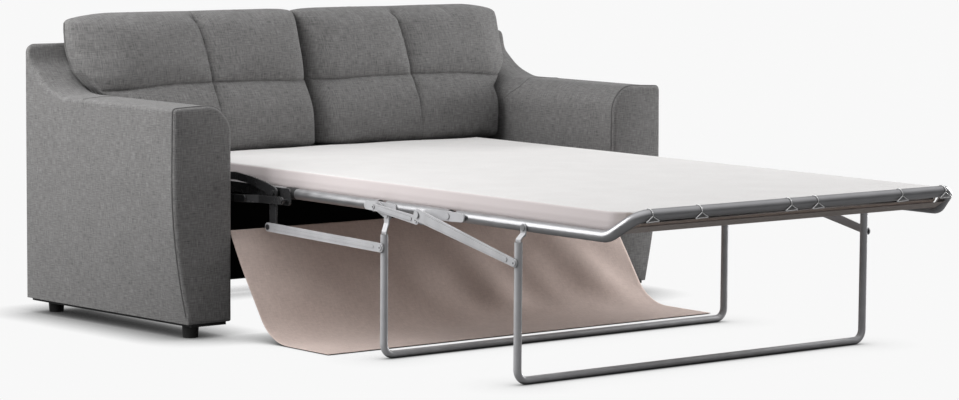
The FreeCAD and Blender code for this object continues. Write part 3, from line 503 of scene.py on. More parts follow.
WING_LINE = [
    (0.010, 0.800), (ARM_BACK, 0.826), (0.025, 0.826), (0.038, 0.772), (0.118, 0.706), (0.205, ARM_TOP),
    (0.9, ARM_TOP),
]
WING_REACHES = [0, 0.006, 0.006, 0.022, 0.040, 0.026, 0]
TOE_HIGH, TOE_POWER = 0.480, 1.96
FACE_SWELL = 0.003
ROLL = 0.085
ROLL_CUT = 0.414 * ROLL
SECTION_REACHES = [0, 0.026, 0.028, 0.0353, 0.0353, 0.006, 0]
FACING_ROUND = 0.013


def wing_top(ahead):
    """Height of an arm's top: level, then a hollow rise to the rounded ridge of the raised back corner."""
    line = rounded_line(np.array([WING_LINE]), np.array([WING_REACHES]), 14)[0]
    return np.interp(ahead, line[:, 0], line[:, 1])


def forward_share(ahead):
    """0 at the back of an arm and 1 at its facing."""
    return np.clip((ahead - ARM_BACK) / (FACING_BACK - ARM_BACK), 0, 1)


def arm_section(ahead):
    """Sections of a right arm at given distances, (stations, points, 2) in X and Z.

    Bottom, flat outer face that curves in to the toe by 51 mm * t^1.96 (t from 480 mm high down to the foot,
    in full at the front and not at all at the back), small top edge, large inner roll. Where the top
    rises towards the back, the roll is lifted into a sloping shoulder beside the raised corner.
    """
    top = wing_top(ahead)[:, None]
    raised = smooth(top, ARM_TOP, ARM_TOP + 0.08)
    face_high = top - 0.030 - 0.016 * raised
    z = ARM_LOW + (face_high - ARM_LOW) * np.linspace(0, 1, 26)[None, :]
    drop = (ARM_OUT - ARM_TOE) * np.clip((TOE_HIGH - z) / (TOE_HIGH - ARM_LOW), 0, 1) ** TOE_POWER
    swell = FACE_SWELL * np.sin(np.pi * np.clip((z - ARM_LOW) / (top - ARM_LOW), 0, 1))
    swell = swell * smooth(ahead, 0.0, 0.1)[:, None]
    outer = np.stack([ARM_OUT - forward_share(ahead)[:, None] * drop + swell, z], axis=-1)
    ones = np.ones_like(top)

    def corner(x, high):
        return np.concatenate([x * ones, high * ones], axis=1)[:, None]

    def lifted(low, high):
        return low * (1 - raised) + high * raised

    corners = np.concatenate(
        [
            outer[:, -1:],
            corner(ARM_OUT, top - 0.004),
            corner(lifted(0.85, 0.800), top),
            corner(lifted(ARM_IN + ROLL - ROLL_CUT, 0.786), lifted(ARM_TOP, ARM_TOP + 0.040)),
            corner(ARM_IN, lifted(ARM_TOP - ROLL + ROLL_CUT, 0.640)),
            corner(ARM_IN, ARM_LOW),
            corner(ARM_OUT - 0.055, ARM_LOW),
        ],
        axis=1,
    )
    gap = np.linalg.norm(np.diff(corners, axis=1), axis=2)
    nearest = np.pad(np.minimum(gap[:, 1:], gap[:, :-1]), ((0, 0), (1, 1)))
    reaches = np.minimum(np.array([SECTION_REACHES]), 0.5 * nearest)
    rest = rounded_line(corners, reaches, 9, 5)
    return np.concatenate([outer[:, :-1], rest[:, :-1]], axis=1)


def facing_points():
    """Points of a right arm's front facing: its rim, a round edge and a faintly domed face.

    The arm's outline is drawn in by 13 mm * (1 - cos a) as it comes forward by 12 mm * sin a. Then it
    shrinks to a core line, and its face rises by 4 mm * sin(90 degrees * the share done).
    """
    edge = arm_section(np.array([FACING_BACK]))[0]
    core = np.stack([np.full(len(edge), 0.5 * (ARM_IN + 0.925)), np.clip(edge[:, 1], 0.13, 0.60)], axis=-1)
    turn, steps = np.linspace(0, np.pi / 2, 7), 6
    inset = np.concatenate([[0.0], FACING_ROUND * (1 - np.cos(turn)), np.full(steps, FACING_ROUND)])
    inwards = np.concatenate([np.zeros(len(turn) + 1), np.linspace(0, 1, steps + 1)[1:]])
    forward = np.concatenate([[-0.004], 0.001 + (FACING_ROUND - 0.001) * np.sin(turn), np.zeros(steps)])
    dome = FACING_ROUND + 0.004 * np.sin(0.5 * np.pi * inwards)
    away = core - edge
    away /= np.linalg.norm(away, axis=1, keepdims=True)
    rings = edge[None] + away[None] * inset[:, None, None]
    rings = rings * (1 - inwards[:, None, None]) + core[None] * inwards[:, None, None]
    return sections_at(rings, FACING_BACK + np.where(inwards > 0, dome, forward))


def welt_path():
    """The line of the piping round a right arm's facing, just outside the arm's own outline."""
    at = np.array([FACING_BACK])
    line = sections_at(arm_section(at), at)[0]
    outwards = (line - np.array([0.84, 0.0, 0.40])) * np.array([1.0, 0.0, 1.0])
    outwards /= np.linalg.norm(outwards, axis=1, keepdims=True)
    shown = (line[:, 2] > ARM_LOW + 0.003) | (line[:, 0] > ARM_OUT)
    return (line + outwards * 0.0004)[shown]


def make_arms():
    """Each arm's cover, its front facing with a domed face, and the piping between them."""
    runs = ((0.0125, 0.045, 12), (0.045, 0.3, 60), (0.3, FACING_BACK, 45))
    ahead = np.unique(np.concatenate([np.linspace(*run) for run in runs]))
    cover, facing, welt = sections_at(arm_section(ahead), ahead), facing_points(), welt_path()
    rings, count = cover.shape[:2]
    caps = end_caps(rings, count)
    for side, turn in SIDES:
        arm = piece(f"{side}_arm_cover", cover * turn, grid_faces(rings, count, True), LINEN, caps)
        faces = grid_faces(len(facing), count, True)
        front = piece(f"{side}_facing_cover", facing * turn, faces, LINEN, caps[:1])
        piping = rod(f"{side}_facing_piping", welt * turn, PIPING_RADIUS, PIPING, 8)
        for made in (arm, front, piping):
            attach(made, "root")
        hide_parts(f"{side}_arm")
        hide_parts(f"{side}_arm_facing")


make_arms()


# ---------------------------------------------------------------- back cushions

CUSHION_SIDE_VIEW = [
    (0.150, 0.485), (0.286, 0.485), (0.299, 0.600), (0.262, 0.700), (0.214, 0.815), (0.172, 0.902),
    (0.105, 0.922), (0.066, 0.915), (0.078, 0.800), (0.150, 0.485),
]
CUSHION_REACHES = [0, 0.022, 0.05, 0.045, 0.05, 0.040, 0.030, 0.020, 0.07, 0]
CUSHION_INNER = 0.003
CUSHION_OUTER = (
    [0.60, 0.66, 0.70, 0.74, 0.78, 0.82, 0.87, 0.92],
    [0.733, 0.748, 0.796, 0.828, 0.840, 0.846, 0.846, 0.840],
)
INNER_CORE = ([0.50, 0.60, 0.70, 0.80, 0.91], [0.185, 0.148, 0.098, 0.078, 0.075])
OUTER_CORE = ([0.50, 0.60, 0.70, 0.80, 0.89], [0.205, 0.195, 0.125, 0.096, 0.084])
UPRIGHT_HOLLOW = (
    [0.50, 0.60, 0.66, 0.70, 0.81, 0.86, 0.93],
    [0.004, 0.020, 0.030, 0.036, 0.034, 0.040, 0.034],
)
LEVEL_HOLLOW = 0.028
TUFT_MIDDLE = 0.392
FRONT_DROP = 0.003
SEAM_WIDTH = 0.0028
FILLED_MOST = 0.009
PRESSED_IN = 0.012


def cushion_loop(count):
    """The cushion's side view as a loop of even points, with three more at the level seam."""
    line = rounded_line(np.array([CUSHION_SIDE_VIEW]), np.array([CUSHION_REACHES]), 16, 12)[0]
    step = np.linalg.norm(np.diff(line, axis=0), axis=1)
    length = np.concatenate([[0], np.cumsum(step)])
    crest = np.argmax(line[:, 1])
    seam = np.interp(SEAM_HIGH, line[:crest, 1], length[:crest])
    pitch = length[-1] / count
    at = np.arange(count) * pitch + seam % pitch
    at = np.sort(np.concatenate([at, [seam - FRONT_DROP, seam + FRONT_DROP]]))
    return np.stack([np.interp(at, length, line[:, 0]), np.interp(at, length, line[:, 1])], axis=-1)


def cushion_stations():
    """Stations from the upright seam out: share of the level run, turn of the corner, size of the end."""
    level, turns, steps = np.linspace(0, 1, 32), 12, 6
    turn = np.linspace(np.pi / 2, 0, turns + 1)[1:]
    share = np.concatenate([[0.0, FRONT_DROP / TUFT_MIDDLE], level[1:], np.ones(turns + steps)])
    corner = np.concatenate([np.full(len(level) + 1, np.pi / 2), turn, np.zeros(steps)])
    face = np.concatenate([np.ones(len(level) + 1 + turns), np.linspace(1.0, 0.12, steps + 1)[1:]])
    return share[:, None], corner[:, None], face[:, None]


def risen(distance, reach):
    """How far a padded field has risen from its seam: (1 - (1 - t)^2)^0.6, with t = distance / reach."""
    t = np.clip(np.abs(distance) / reach, 0, 1)
    return (1 - (1 - t) ** 2) ** 0.6


def cushion_half(ahead, high, outwards):
    """Points from the upright seam to one end of the right cushion, and their size about the core line.

    The side view turns into the end: x = level + reach cos(a)^p, and its size is least + (1 - least)
    sin(a)^p. The inner end is round (p = 1). The outer end is round between the arms and slants back over
    them (p = 1.4).
    """
    share, corner, face = cushion_stations()
    if outwards:
        direction, least, core_line, core_top = 1, 0.30, OUTER_CORE, 0.89
        end = np.interp(high, *CUSHION_OUTER)
        reach = np.interp(high, [0.60, 0.70, 0.80], [0.05, 0.11, 0.145])
        power = np.interp(high, [0.62, 0.80], [1.0, 1.4])
    else:
        direction, least, core_line, core_top = -1, 0.22, INNER_CORE, 0.905
        end, reach, power = CUSHION_INNER + 0 * high, 0.10, 1.0
    core_high = np.clip(high, 0.50, core_top)
    core = np.interp(core_high, *core_line)
    size = (least + (1 - least) * np.sin(corner) ** power) * face + 0 * high
    level = TUFT_MIDDLE + (end - direction * reach - TUFT_MIDDLE) * share
    x = level + direction * reach * np.maximum(np.cos(corner), 0) ** power
    x = x + direction * 0.006 * (1 - face**2)
    place = np.stack([x, core + (ahead - core) * size, core_high + (high - core_high) * size], axis=-1)
    return place, size / np.maximum(face, 0.01) * (face > 0.99)


def cushion_form():
    """Points of the right cushion, its distances from both seams, and where its padded front is.

    Both seams draw the side view inwards, and the level one also sags towards both ends.
    """
    loop = cushion_loop(146)
    loop_ahead, loop_high = loop[None, :, 0], loop[None, :, 1]
    inner, inner_size = cushion_half(loop_ahead, loop_high, False)
    outer, outer_size = cushion_half(loop_ahead, loop_high, True)
    form = np.concatenate([inner[::-1], outer[1:]])
    size = np.concatenate([inner_size[::-1], outer_size[1:]])

    x, ahead, high = form[..., 0], form[..., 1], form[..., 2]
    centre = np.interp(high, [0.53, 0.70, 0.87], [0.200, 0.160, 0.110])
    towards = np.stack([centre - ahead, np.clip(high, 0.53, 0.86) - high], axis=-1)
    towards /= np.maximum(np.linalg.norm(towards, axis=-1, keepdims=True), 1e-6)
    front = np.maximum(smooth(ahead - centre, 0.0, 0.05), smooth(high, 0.88, 0.91))
    front = front * smooth(ahead, 0.075, 0.150)
    upright = np.interp(high, *UPRIGHT_HOLLOW) * (1 - risen(x - TUFT_MIDDLE, 0.13))
    level = LEVEL_HOLLOW * (1 - risen(high - SEAM_HIGH, 0.10)) * smooth(size, 0.35, 0.95)
    hollow = (np.maximum(upright, level) + 0.35 * np.minimum(upright, level)) * front
    sag = 0.018 * smooth(x - TUFT_MIDDLE, 0.12, 0.43) + 0.008 * smooth(TUFT_MIDDLE - x, 0.15, 0.39)
    sag = sag * np.exp(-(((high - SEAM_HIGH) / 0.09) ** 2)) * front
    y = BACK - ahead - towards[..., 0] * hollow
    form = np.stack([x, y, high + towards[..., 1] * hollow - sag], axis=-1)
    beside = np.where(front > 0.4, np.abs(x - TUFT_MIDDLE), 1.0)
    across = np.where(front > 0.4, np.abs(loop_high - SEAM_HIGH) + 0 * x, 1.0)
    return form, beside, across, front * smooth(size, 0.7, 1.0)


def fill_cloth(made, held, most):
    """Fills a closed cloth by pressure from inside; held points stay, and none moves further than most."""
    group = made.vertex_groups.new(name="sewn")
    weights = np.round(held, 1)
    for value in np.unique(weights[weights > 0]):
        group.add(np.flatnonzero(weights == value).tolist(), float(value), "REPLACE")
    modifier = made.modifiers.new("filling", "CLOTH")
    cloth = modifier.settings
    cloth.quality = 5
    cloth.mass = 0.3
    cloth.tension_stiffness = cloth.compression_stiffness = 22
    cloth.shear_stiffness = 10
    cloth.bending_stiffness = 1.5
    cloth.use_pressure = True
    cloth.uniform_pressure_force = 4.0
    cloth.shrink_min = -0.004
    cloth.vertex_group_mass = "sewn"
    cloth.effector_weights.gravity = 0
    modifier.collision_settings.use_collision = False
    scene = bpy.context.scene
    for number in range(1, 21):
        scene.frame_set(number)
    shown = made.evaluated_get(bpy.context.evaluated_depsgraph_get())
    before, after = read_points(made.data), read_points(shown.data)
    made.modifiers.remove(modifier)
    made.vertex_groups.remove(group)
    scene.frame_set(1)
    moved = after - before
    length = np.maximum(np.linalg.norm(moved, axis=1, keepdims=True), 1e-9)
    return before + moved * (most * np.tanh(length / most) / length)


def sewn_rise(points, beside, across, front, phase):
    """How far a cushion's points rise: puckers beside both seams, wide lumps, and the sunk sewn lines."""
    run, high = points[:, 0] + phase, points[:, 2]
    near_upright, near_level = np.exp(-beside / 0.03), np.exp(-across / 0.026)
    pucker = near_upright * np.sin(150 * high + 2.5 * np.sin(23 * high + phase))
    pucker = pucker + near_level * np.sin(140 * run + 2.8 * np.sin(19 * run))
    lump = np.sin(13 * run + 2 * np.sin(9 * high)) * np.sin(17 * high + 1.4 * np.sin(11 * run))
    sewn = np.exp(-((beside / SEAM_WIDTH) ** 2)) + np.exp(-((across / SEAM_WIDTH) ** 2))
    return 0.0010 * pucker + 0.0016 * lump * front - 0.0022 * np.minimum(sewn, 1)


def make_cushions():
    """Both tufted cushions: filled by simulation between their seams, then sewn lines and small puckers.

    The right one is pressed in at its upper outer corner.
    """
    form, beside, across, front = cushion_form()
    columns, around = form.shape[:2]
    beside, across, front = beside.ravel(), across.ravel(), front.ravel()
    sewn_down = np.minimum(beside, across) < 1.2 * FRONT_DROP
    held = np.maximum(sewn_down * 1.0, np.clip(1 - front * 3, 0, 1))
    for (side, turn), phase in zip(SIDES, (0.0, 2.1)):
        put = form * turn
        if side == "right":
            put[..., 0] -= PRESSED_IN * smooth(put[..., 0], 0.55, 0.84) * smooth(put[..., 2], 0.72, 0.84)
        faces = grid_faces(columns, around, True)
        made = piece(f"{side}_cushion_cover", put, faces, LINEN, end_caps(columns, around), merge=1e-8)
        write_points(made.data, fill_cloth(made, held, FILLED_MOST))
        normal = read_points(made.data, "normal")
        points = read_points(made.data)
        rise = sewn_rise(points, beside, across, front, phase)
        write_points(made.data, points + normal * rise[:, None])
        finer = made.modifiers.new("finer", "SUBSURF")
        finer.levels = finer.render_levels = 1
        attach(made, "root")
        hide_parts(f"{side}_back_cushion")


make_cushions()


# ---------------------------------------------------------------- back frame and outside back

BACK_VIEW = [(0.07, 0.472), (0.126, 0.472), (0.060, 0.808), (0.013, 0.808), (0.013, 0.472), (0.07, 0.472)]
BACK_REACHES = [0, 0.012, 0.018, 0.01, 0.005, 0]
BACK_HALF, BACK_ROUND = 0.738, 0.01
OUTSIDE_HALF, OUTSIDE_LOW, OUTSIDE_HIGH, OUTSIDE_CORNER = 0.930, 0.046, 0.822, 0.030


def make_back_frame():
    """The padded rail behind and under the cushions.

    Its side view is carried across, and drawn in at both ends by a quarter circle.
    """
    loop = rounded_line(np.array([BACK_VIEW]), np.array([BACK_REACHES]), 8, 6)[0][:-1]
    turn = np.linspace(0, np.pi / 2, 6)
    end, drawn_in = BACK_HALF - BACK_ROUND * (1 - np.sin(turn)), BACK_ROUND * (1 - np.cos(turn))
    run = np.linspace(BACK_ROUND - BACK_HALF, BACK_HALF - BACK_ROUND, 40)[1:-1]
    x = np.concatenate([-end[::-1], run, end])
    inset = np.concatenate([drawn_in[::-1], 0 * run, drawn_in])
    away = loop.mean(axis=0) - loop
    away /= np.linalg.norm(away, axis=1, keepdims=True)
    rings = loop[None] + away[None] * inset[:, None, None]
    points = np.stack(np.broadcast_arrays(x[:, None], BACK - rings[..., 0], rings[..., 1]), axis=-1)
    faces = grid_faces(len(x), len(loop), True)
    made = piece("back_frame_cover", points, faces, LINEN, end_caps(len(x), len(loop)))
    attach(made, "root")
    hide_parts("back_frame")


def make_outside_back():
    """The outside back, with round upper corners and a piped edge.

    Its face stands out by 10 mm * (4s(1 - s) 4t(1 - t))^0.1, with s and t the shares across and up.
    """
    across = np.concatenate([[0.0], np.linspace(0.0, 1.0, 48), [1.0]])
    up = np.concatenate([[0.0], np.linspace(0.0, 1.0, 40), [1.0]])
    s, t = np.meshgrid(across, up, indexing="ij")
    bulge = (np.clip(4 * s * (1 - s), 0, 1) * np.clip(4 * t * (1 - t), 0, 1)) ** 0.10
    wave = 0.0012 * np.sin(9 * s + 1.7 * np.sin(5 * t)) * np.sin(7 * t + 2.1 * s)
    x = OUTSIDE_HALF * (2 * s - 1)
    z = OUTSIDE_LOW + (OUTSIDE_HIGH - OUTSIDE_LOW) * t
    sideways = np.clip((np.abs(x) - (OUTSIDE_HALF - OUTSIDE_CORNER)) / OUTSIDE_CORNER, 0, 1)
    upwards = np.clip((z - (OUTSIDE_HIGH - OUTSIDE_CORNER)) / OUTSIDE_CORNER, 0, 1)
    x = x - np.sign(x) * OUTSIDE_CORNER * sideways * (1 - np.sqrt(1 - upwards**2 / 2))
    z = z - OUTSIDE_CORNER * upwards * (1 - np.sqrt(1 - sideways**2 / 2))
    edge = (s == 0) | (s == 1) | (t == 0) | (t == 1)
    rim = np.zeros_like(edge)
    rim[0, :] = rim[-1, :] = rim[:, 0] = rim[:, -1] = True
    y = BACK - 0.011 + (0.0100 + wave) * bulge
    y = np.where(rim, BACK - 0.0115, np.where(edge, BACK - 0.010, y))
    faces = grid_faces(len(across), len(up), False)
    back = piece("outside_back_cover", np.stack([x, y, z], axis=-1), faces, LINEN, closed=False)
    outward(back.data)
    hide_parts("outside_back")

    half, low, high = OUTSIDE_HALF, OUTSIDE_LOW, OUTSIDE_HIGH
    outline = np.array([[(0.0, low), (half, low), (half, high), (-half, high), (-half, low), (0.0, low)]])
    line = rounded_line(outline, np.array([[0, 0.004, 0.022, 0.022, 0.004, 0]]), 8, 20)[0]
    path = np.stack([line[:, 0], np.full(len(line), BACK - 0.0085), line[:, 1]], axis=-1)
    welt = rod("outside_back_piping", path, PIPING_RADIUS, PIPING, 8)
    for made in (back, welt):
        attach(made, "root")


make_back_frame()
make_outside_back()


# ---------------------------------------------------------------- mattress

MATTRESS_BACK, MATTRESS_FOOT = 0.294, 2.387
MATTRESS_END_ROUND = 0.022
MATTRESS_SLACK = 0.0002
MATTRESS_REACHES = [0, 0.016, 0.004, 0.007, 0, 0.007, 0.004, 0.016, 0]
FIRST_CUT, SECOND_CUT = 0.990, 1.552
WAVY_ABOVE = 0.46


def mattress_half_width(ahead):
    """Half of the mattress's width, drawn in at the foot where the rails bend to the foot bar."""
    return MATTRESS_HALF - 0.032 * smooth(ahead, 2.325, 2.400) - 0.020 * smooth(ahead, 2.368, 2.389)


def mattress_rings(ahead):
    """Closed cross sections of the mattress at given distances: flat below and on top, with round edges.

    Towards both ends they close by a quarter circle of 22 mm, and the underside rises at the foot.
    """
    half = mattress_half_width(ahead)
    from_end = np.minimum(ahead - MATTRESS_BACK, MATTRESS_FOOT - ahead)
    close = np.clip(from_end / MATTRESS_END_ROUND, 0, 1)
    edge = np.sqrt(np.clip(1 - (1 - close) ** 2, 0, 1))
    middle = np.full_like(half, 0.5 * (MATTRESS_LOW + MATTRESS_TOP))
    lifted = MATTRESS_LOW + 0.016 * smooth(ahead, 2.31, 2.385)
    low = middle - (middle - lifted) * (0.55 + 0.45 * edge)
    top = middle + (MATTRESS_TOP - middle) * (0.35 + 0.65 * edge)
    right = [(half, low), (half + 0.002, middle), (half - 0.001, top - 0.002)]
    left = [(-x, z) for x, z in reversed(right)]
    line = [(0 * half, low), *right, (0 * half, top), *left, (0 * half, low)]
    corners = np.stack([np.stack(corner, axis=-1) for corner in line], axis=1)
    reaches = np.tile(np.array(MATTRESS_REACHES), (len(ahead), 1))
    return sections_at(rounded_line(corners, reaches, 7, 14)[:, :-1], ahead)


def make_mattress():
    """One continuous mattress in three lengths, each of which lies across one hinge of the bed."""
    start, end = MATTRESS_BACK + MATTRESS_SLACK, MATTRESS_FOOT - MATTRESS_SLACK
    round_end = MATTRESS_END_ROUND * (1 - np.cos(np.linspace(0, np.pi / 2, 9)[:-1]))
    for name, first, last, hinge, bodies, nodes in (
        ("head", start, FIRST_CUT, HEAD_HINGE, ("bed_head", "bed_body"), ("mattress_head", "mattress_body")),
        ("middle", FIRST_CUT, SECOND_CUT, BODY_HINGE, ("bed_body", "bed_middle"), ("mattress_middle",)),
        ("foot", SECOND_CUT, end, FOOT_HINGE, ("bed_middle", "bed_foot"), ("mattress_foot",)),
    ):
        ahead = [np.arange(first, last - 0.004, 0.012), [last]]
        if name == "head":
            ahead.append(first + round_end)
        if name == "foot":
            ahead.append(last - round_end)
        ahead = np.unique(np.round(np.concatenate(ahead), 5))
        points = mattress_rings(ahead)
        rings, count = points.shape[:2]
        x, y, z = points[..., 0], points[..., 1], points[..., 2]
        wave = 0.0012 * np.sin(23 * y + 3 * np.sin(4 * x)) * np.sin(11 * x + 2 * y)
        inside = np.clip((MATTRESS_HALF - np.abs(x)) / 0.05, 0, 1)
        points[..., 2] += np.where(z > WAVY_ABOVE, wave, 0) * inside
        step = np.linalg.norm(np.diff(points[rings // 2], axis=0), axis=1)
        around = np.concatenate([[0], np.cumsum(step)])
        surface = np.stack(np.broadcast_arrays(around[None], ahead[:, None]), axis=-1)
        faces = grid_faces(rings, count, True)
        made = piece(f"mattress_{name}_cover", points, faces, TICKING, end_caps(rings, count), surface)
        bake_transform(made)
        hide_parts(*nodes)


make_mattress()


# ---------------------------------------------------------------- dust cloth

DUST_LINE = [(0.806, 0.310), (0.868, 0.208), (1.014, 0.0022), (1.295, 0.0022)]
DUST_REACHES = [0, 0.035, 0.085, 0]
DUST_HALF = 0.736
FOLD_HIGH = 0.015
HEM, HEM_HIGH = 0.013, 0.0007
LEAST_HIGH = 0.0014


def make_dust_cloth():
    """The cloth that hangs across the well's front and lies out on the floor, with soft slanting folds.

    Its line falls from the well's front edge, sweeps forward and runs out on the floor. Folds are waves of
    X - 0.55 * length along the line, lower on the floor, which die out at the top edge and before the
    front hem.
    """
    line = rounded_line(np.array([DUST_LINE]), np.array([DUST_REACHES]), 16, 14)[0]
    step = np.linalg.norm(np.diff(line, axis=0), axis=1)
    length = np.concatenate([[0], np.cumsum(step)])
    rows, columns = 160, 240
    at = np.linspace(0, length[-1], rows)
    ahead, high = np.interp(at, length, line[:, 0]), np.interp(at, length, line[:, 1])
    slope = np.stack([np.gradient(ahead, at), np.gradient(high, at)], axis=-1)
    normal = np.stack([-slope[:, 1], slope[:, 0]], axis=-1)
    x = np.linspace(-DUST_HALF, DUST_HALF, columns)[None, :]
    along = at[:, None]
    fade = np.sin(np.pi * np.clip(along / length[-1] * 1.25, 0, 1)) ** 1.2
    slant = x - 0.55 * along
    fold = 0.5 * np.sin(17 * slant + 1.2 * np.sin(5 * x) + 0.6) + 0.3 * np.sin(29 * slant + 2.0)
    weight = 0.30 + 0.80 * smooth(x, -0.1, 0.40)
    lift = FOLD_HIGH * fade * fold * weight * (0.22 + 0.78 * smooth(high, 0.002, 0.070)[:, None])
    run_out = 1 + smooth(-high, -0.030, -0.002)[:, None]
    lift = np.where(lift < 0, lift / run_out**4, lift)
    inset = np.minimum(length[-1] - along, DUST_HALF - np.abs(x))
    lift = lift + HEM_HIGH * smooth(-inset, -HEM - 0.0005, -HEM + 0.0005)
    y = BACK - (ahead[:, None] + lift * normal[:, :1])
    z = np.maximum(high[:, None] + lift * normal[:, 1:], LEAST_HIGH)
    points = np.stack(np.broadcast_arrays(x, y, z), axis=-1)
    lengths = np.stack(np.broadcast_arrays(x, along), axis=-1)
    faces = grid_faces(rows, columns, False)
    made = piece("dust_cloth_sheet", points, faces, DUST, lengths=lengths, closed=False)
    thicken(made)
    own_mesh(made)
    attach(made, "root")
    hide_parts("dust_cloth")


make_dust_cloth()


# ---------------------------------------------------------------- decks, hooks and small fittings

BAR_AHEAD, BAR_HIGH, BAR_RADIUS = 2.420, 0.483, 0.016
DECK_RISE = 0.022
WIRE_RADIUS = 0.0015
WIRE_REACH = BAR_RADIUS + WIRE_RADIUS
HOOK_PLACES = (-0.548, -0.376, -0.050, 0.050, 0.376, 0.548)
HOOK_TURN = (0.62 * np.pi, 0.16 * np.pi)
HOOK_TRIANGLE = [(0.0, 0.4905), (0.0, 0.4820), (-0.023, 0.4665), (0.023, 0.4680), (0.001, 0.4810)]
HOOK_REACHES = [0, 0.002, 0.003, 0.003, 0]
RIVET_RADIUS, BOLT_RADIUS, STUD_RISE = 0.0026, 0.0028, 0.0004
SLEEVE_START, SLEEVE_END, SLEEVE_RADIUS = 0.935, 0.985, 0.0166
TRIM_LOW, TRIM_HIGH, TRIM_INNER, TRIM_BACK = 0.0365, 0.0458, 0.756, 0.011
WING_SEAM = [
    (0.350, 0.940, 0.640), (0.338, 0.940, 0.662), (0.324, 0.928, 0.676), (0.316, 0.896, 0.678),
    (0.313, 0.860, 0.678), (0.320, 0.820, 0.678), (0.336, 0.785, 0.672), (0.330, 0.760, 0.655),
    (0.300, 0.748, 0.632), (0.276, 0.742, 0.612),
]


def make_decks():
    """The woven cloths stretched between the rails; the one at the foot rises to the foot bar."""
    for name, body, rails in (
        ("head", "bed_head", ["head_frame"]),
        ("body", "bed_body", ["left_body_rail", "right_body_rail"]),
        ("middle", "bed_middle", ["left_middle_rail", "right_middle_rail"]),
        ("foot", "bed_foot", ["foot_frame"]),
    ):
        low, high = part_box(f"{name}_deck")
        front = BACK - BAR_AHEAD + 0.012 if name == "foot" else low[1]
        rows, columns = 120, 90
        x = np.linspace(low[0], high[0], columns)[None, :]
        y = np.linspace(high[1], front, rows)[:, None]
        run = np.abs(high[1] - y)
        sag = 0.0006 * np.sin(11 * x + 3 * np.sin(7 * y)) * np.sin(17 * y)
        ahead = BACK - y
        rise = DECK_RISE * smooth(ahead, 2.345, 2.412) if name == "foot" else 0 * ahead
        narrow = 1 - 0.030 * smooth(ahead, 2.335, 2.41)
        z = 0.5 * (low[2] + high[2]) + np.minimum(sag, 0) * (rise == 0) + rise
        points = np.stack(np.broadcast_arrays(x * narrow, y, z), axis=-1)
        lengths = np.stack(np.broadcast_arrays(x, run), axis=-1)
        faces = grid_faces(rows, columns, False)
        made = piece(f"{name}_deck_cloth", points, faces, DECK, lengths=lengths, closed=False)
        thicken(made)
        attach(made, body)
        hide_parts(f"{name}_deck")


def on_bar(high):
    """How far ahead a wire lies that rests on the front of the foot bar at a height, and hangs free below."""
    return BAR_AHEAD + np.sqrt(WIRE_REACH**2 - np.maximum(high - BAR_HIGH, 0.0) ** 2)


def make_hooks():
    """Bent wire hooks: an arc over the foot bar, and then a triangle that hangs in front of it."""
    over = np.linspace(*HOOK_TURN, 9)
    stem_ahead, stem_high = BAR_AHEAD + WIRE_REACH * np.cos(over), BAR_HIGH + WIRE_REACH * np.sin(over)
    loop = rounded_line(np.array([HOOK_TRIANGLE]), np.array([HOOK_REACHES]), 6, 6)[0]
    stem = np.stack([0 * over, BACK - stem_ahead, stem_high], axis=-1)
    triangle = np.stack([loop[:, 0], BACK - on_bar(loop[:, 1]), loop[:, 1]], axis=-1)
    path = np.concatenate([stem, triangle])
    for number, place in enumerate(HOOK_PLACES, 1):
        wire = rod(f"hook_{number}", path + np.array([place, 0.0, 0.0]), WIRE_RADIUS, WIRE, 8)
        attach(wire, "bed_foot")


def studs(name, body, radius, spots):
    """Small domed discs on the outer faces of both sides of the bed, turned surfaces of five rings each.

    spots are (out, ahead, high) of the right side.
    """
    size = np.array([1.0, 1.0, 0.85, 0.55, 0.2]) * radius
    lift = np.array([-0.0010, 0.0, 0.6 * STUD_RISE, 0.9 * STUD_RISE, STUD_RISE])
    rings, sides = len(size), 16
    turn = np.linspace(0, 2 * np.pi, sides, endpoint=False)
    places = np.concatenate([np.array(spots, float) * across for _, across in SIDES])[:, :, None, None]
    x = places[:, 0] + np.sign(places[:, 0]) * lift[:, None]
    y = BACK - places[:, 1] + size[:, None] * np.cos(turn)
    z = places[:, 2] + size[:, None] * np.sin(turn)
    points = np.stack(np.broadcast_arrays(x, y, z), axis=-1)
    starts = rings * sides * np.arange(len(places))
    faces = np.concatenate([grid_faces(rings, sides, True) + start for start in starts])
    caps = [cap + start for start in starts for cap in end_caps(rings, sides)]
    made = piece(name, points, faces, DARK_STEEL, caps, merge=1e-7)
    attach(made, body)


def make_fittings():
    """Dark centres of the rivets, and the plastic sleeves where the rails enter their brackets."""
    plate, brace, drag = (
        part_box(f"right_{node}")[1][0] for node in ("middle_stiffener", "leg_brace", "drag_link")
    )
    for name, body, radius, spots in (
        (
            "middle_rivet_centres", "bed_middle", RIVET_RADIUS,
            [(plate, BODY_HINGE, RAIL_HIGH), (plate, 1.588, 0.404)],
        ),
        ("brace_rivet_centres", "leg_braces", RIVET_RADIUS, [(brace, 1.6105, 0.421), (brace, 2.025, 0.329)]),
        ("drag_rivet_centres", "drag_links", RIVET_RADIUS, [(drag, 0.905, 0.325), (drag, 1.442, 0.315)]),
        ("rail_bolt_centres", "bed_foot", BOLT_RADIUS, [(RAIL_OUT, 1.785, 0.427)]),
    ):
        studs(name, body, radius, spots)
    y = BACK - np.linspace(SLEEVE_START, SLEEVE_END, 12)
    thick = SLEEVE_RADIUS + 0.0008 * np.minimum(1, 4 * np.sin(np.linspace(0, np.pi, 12)))
    for side, turn in SIDES:
        path = np.stack([0 * y + RAIL_MIDDLE, y, 0 * y + RAIL_HIGH], axis=-1) * turn
        sleeve = rod(f"{side}_rail_sleeve", path, thick, BLACK_PLASTIC, 28)
        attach(sleeve, "bed_body")


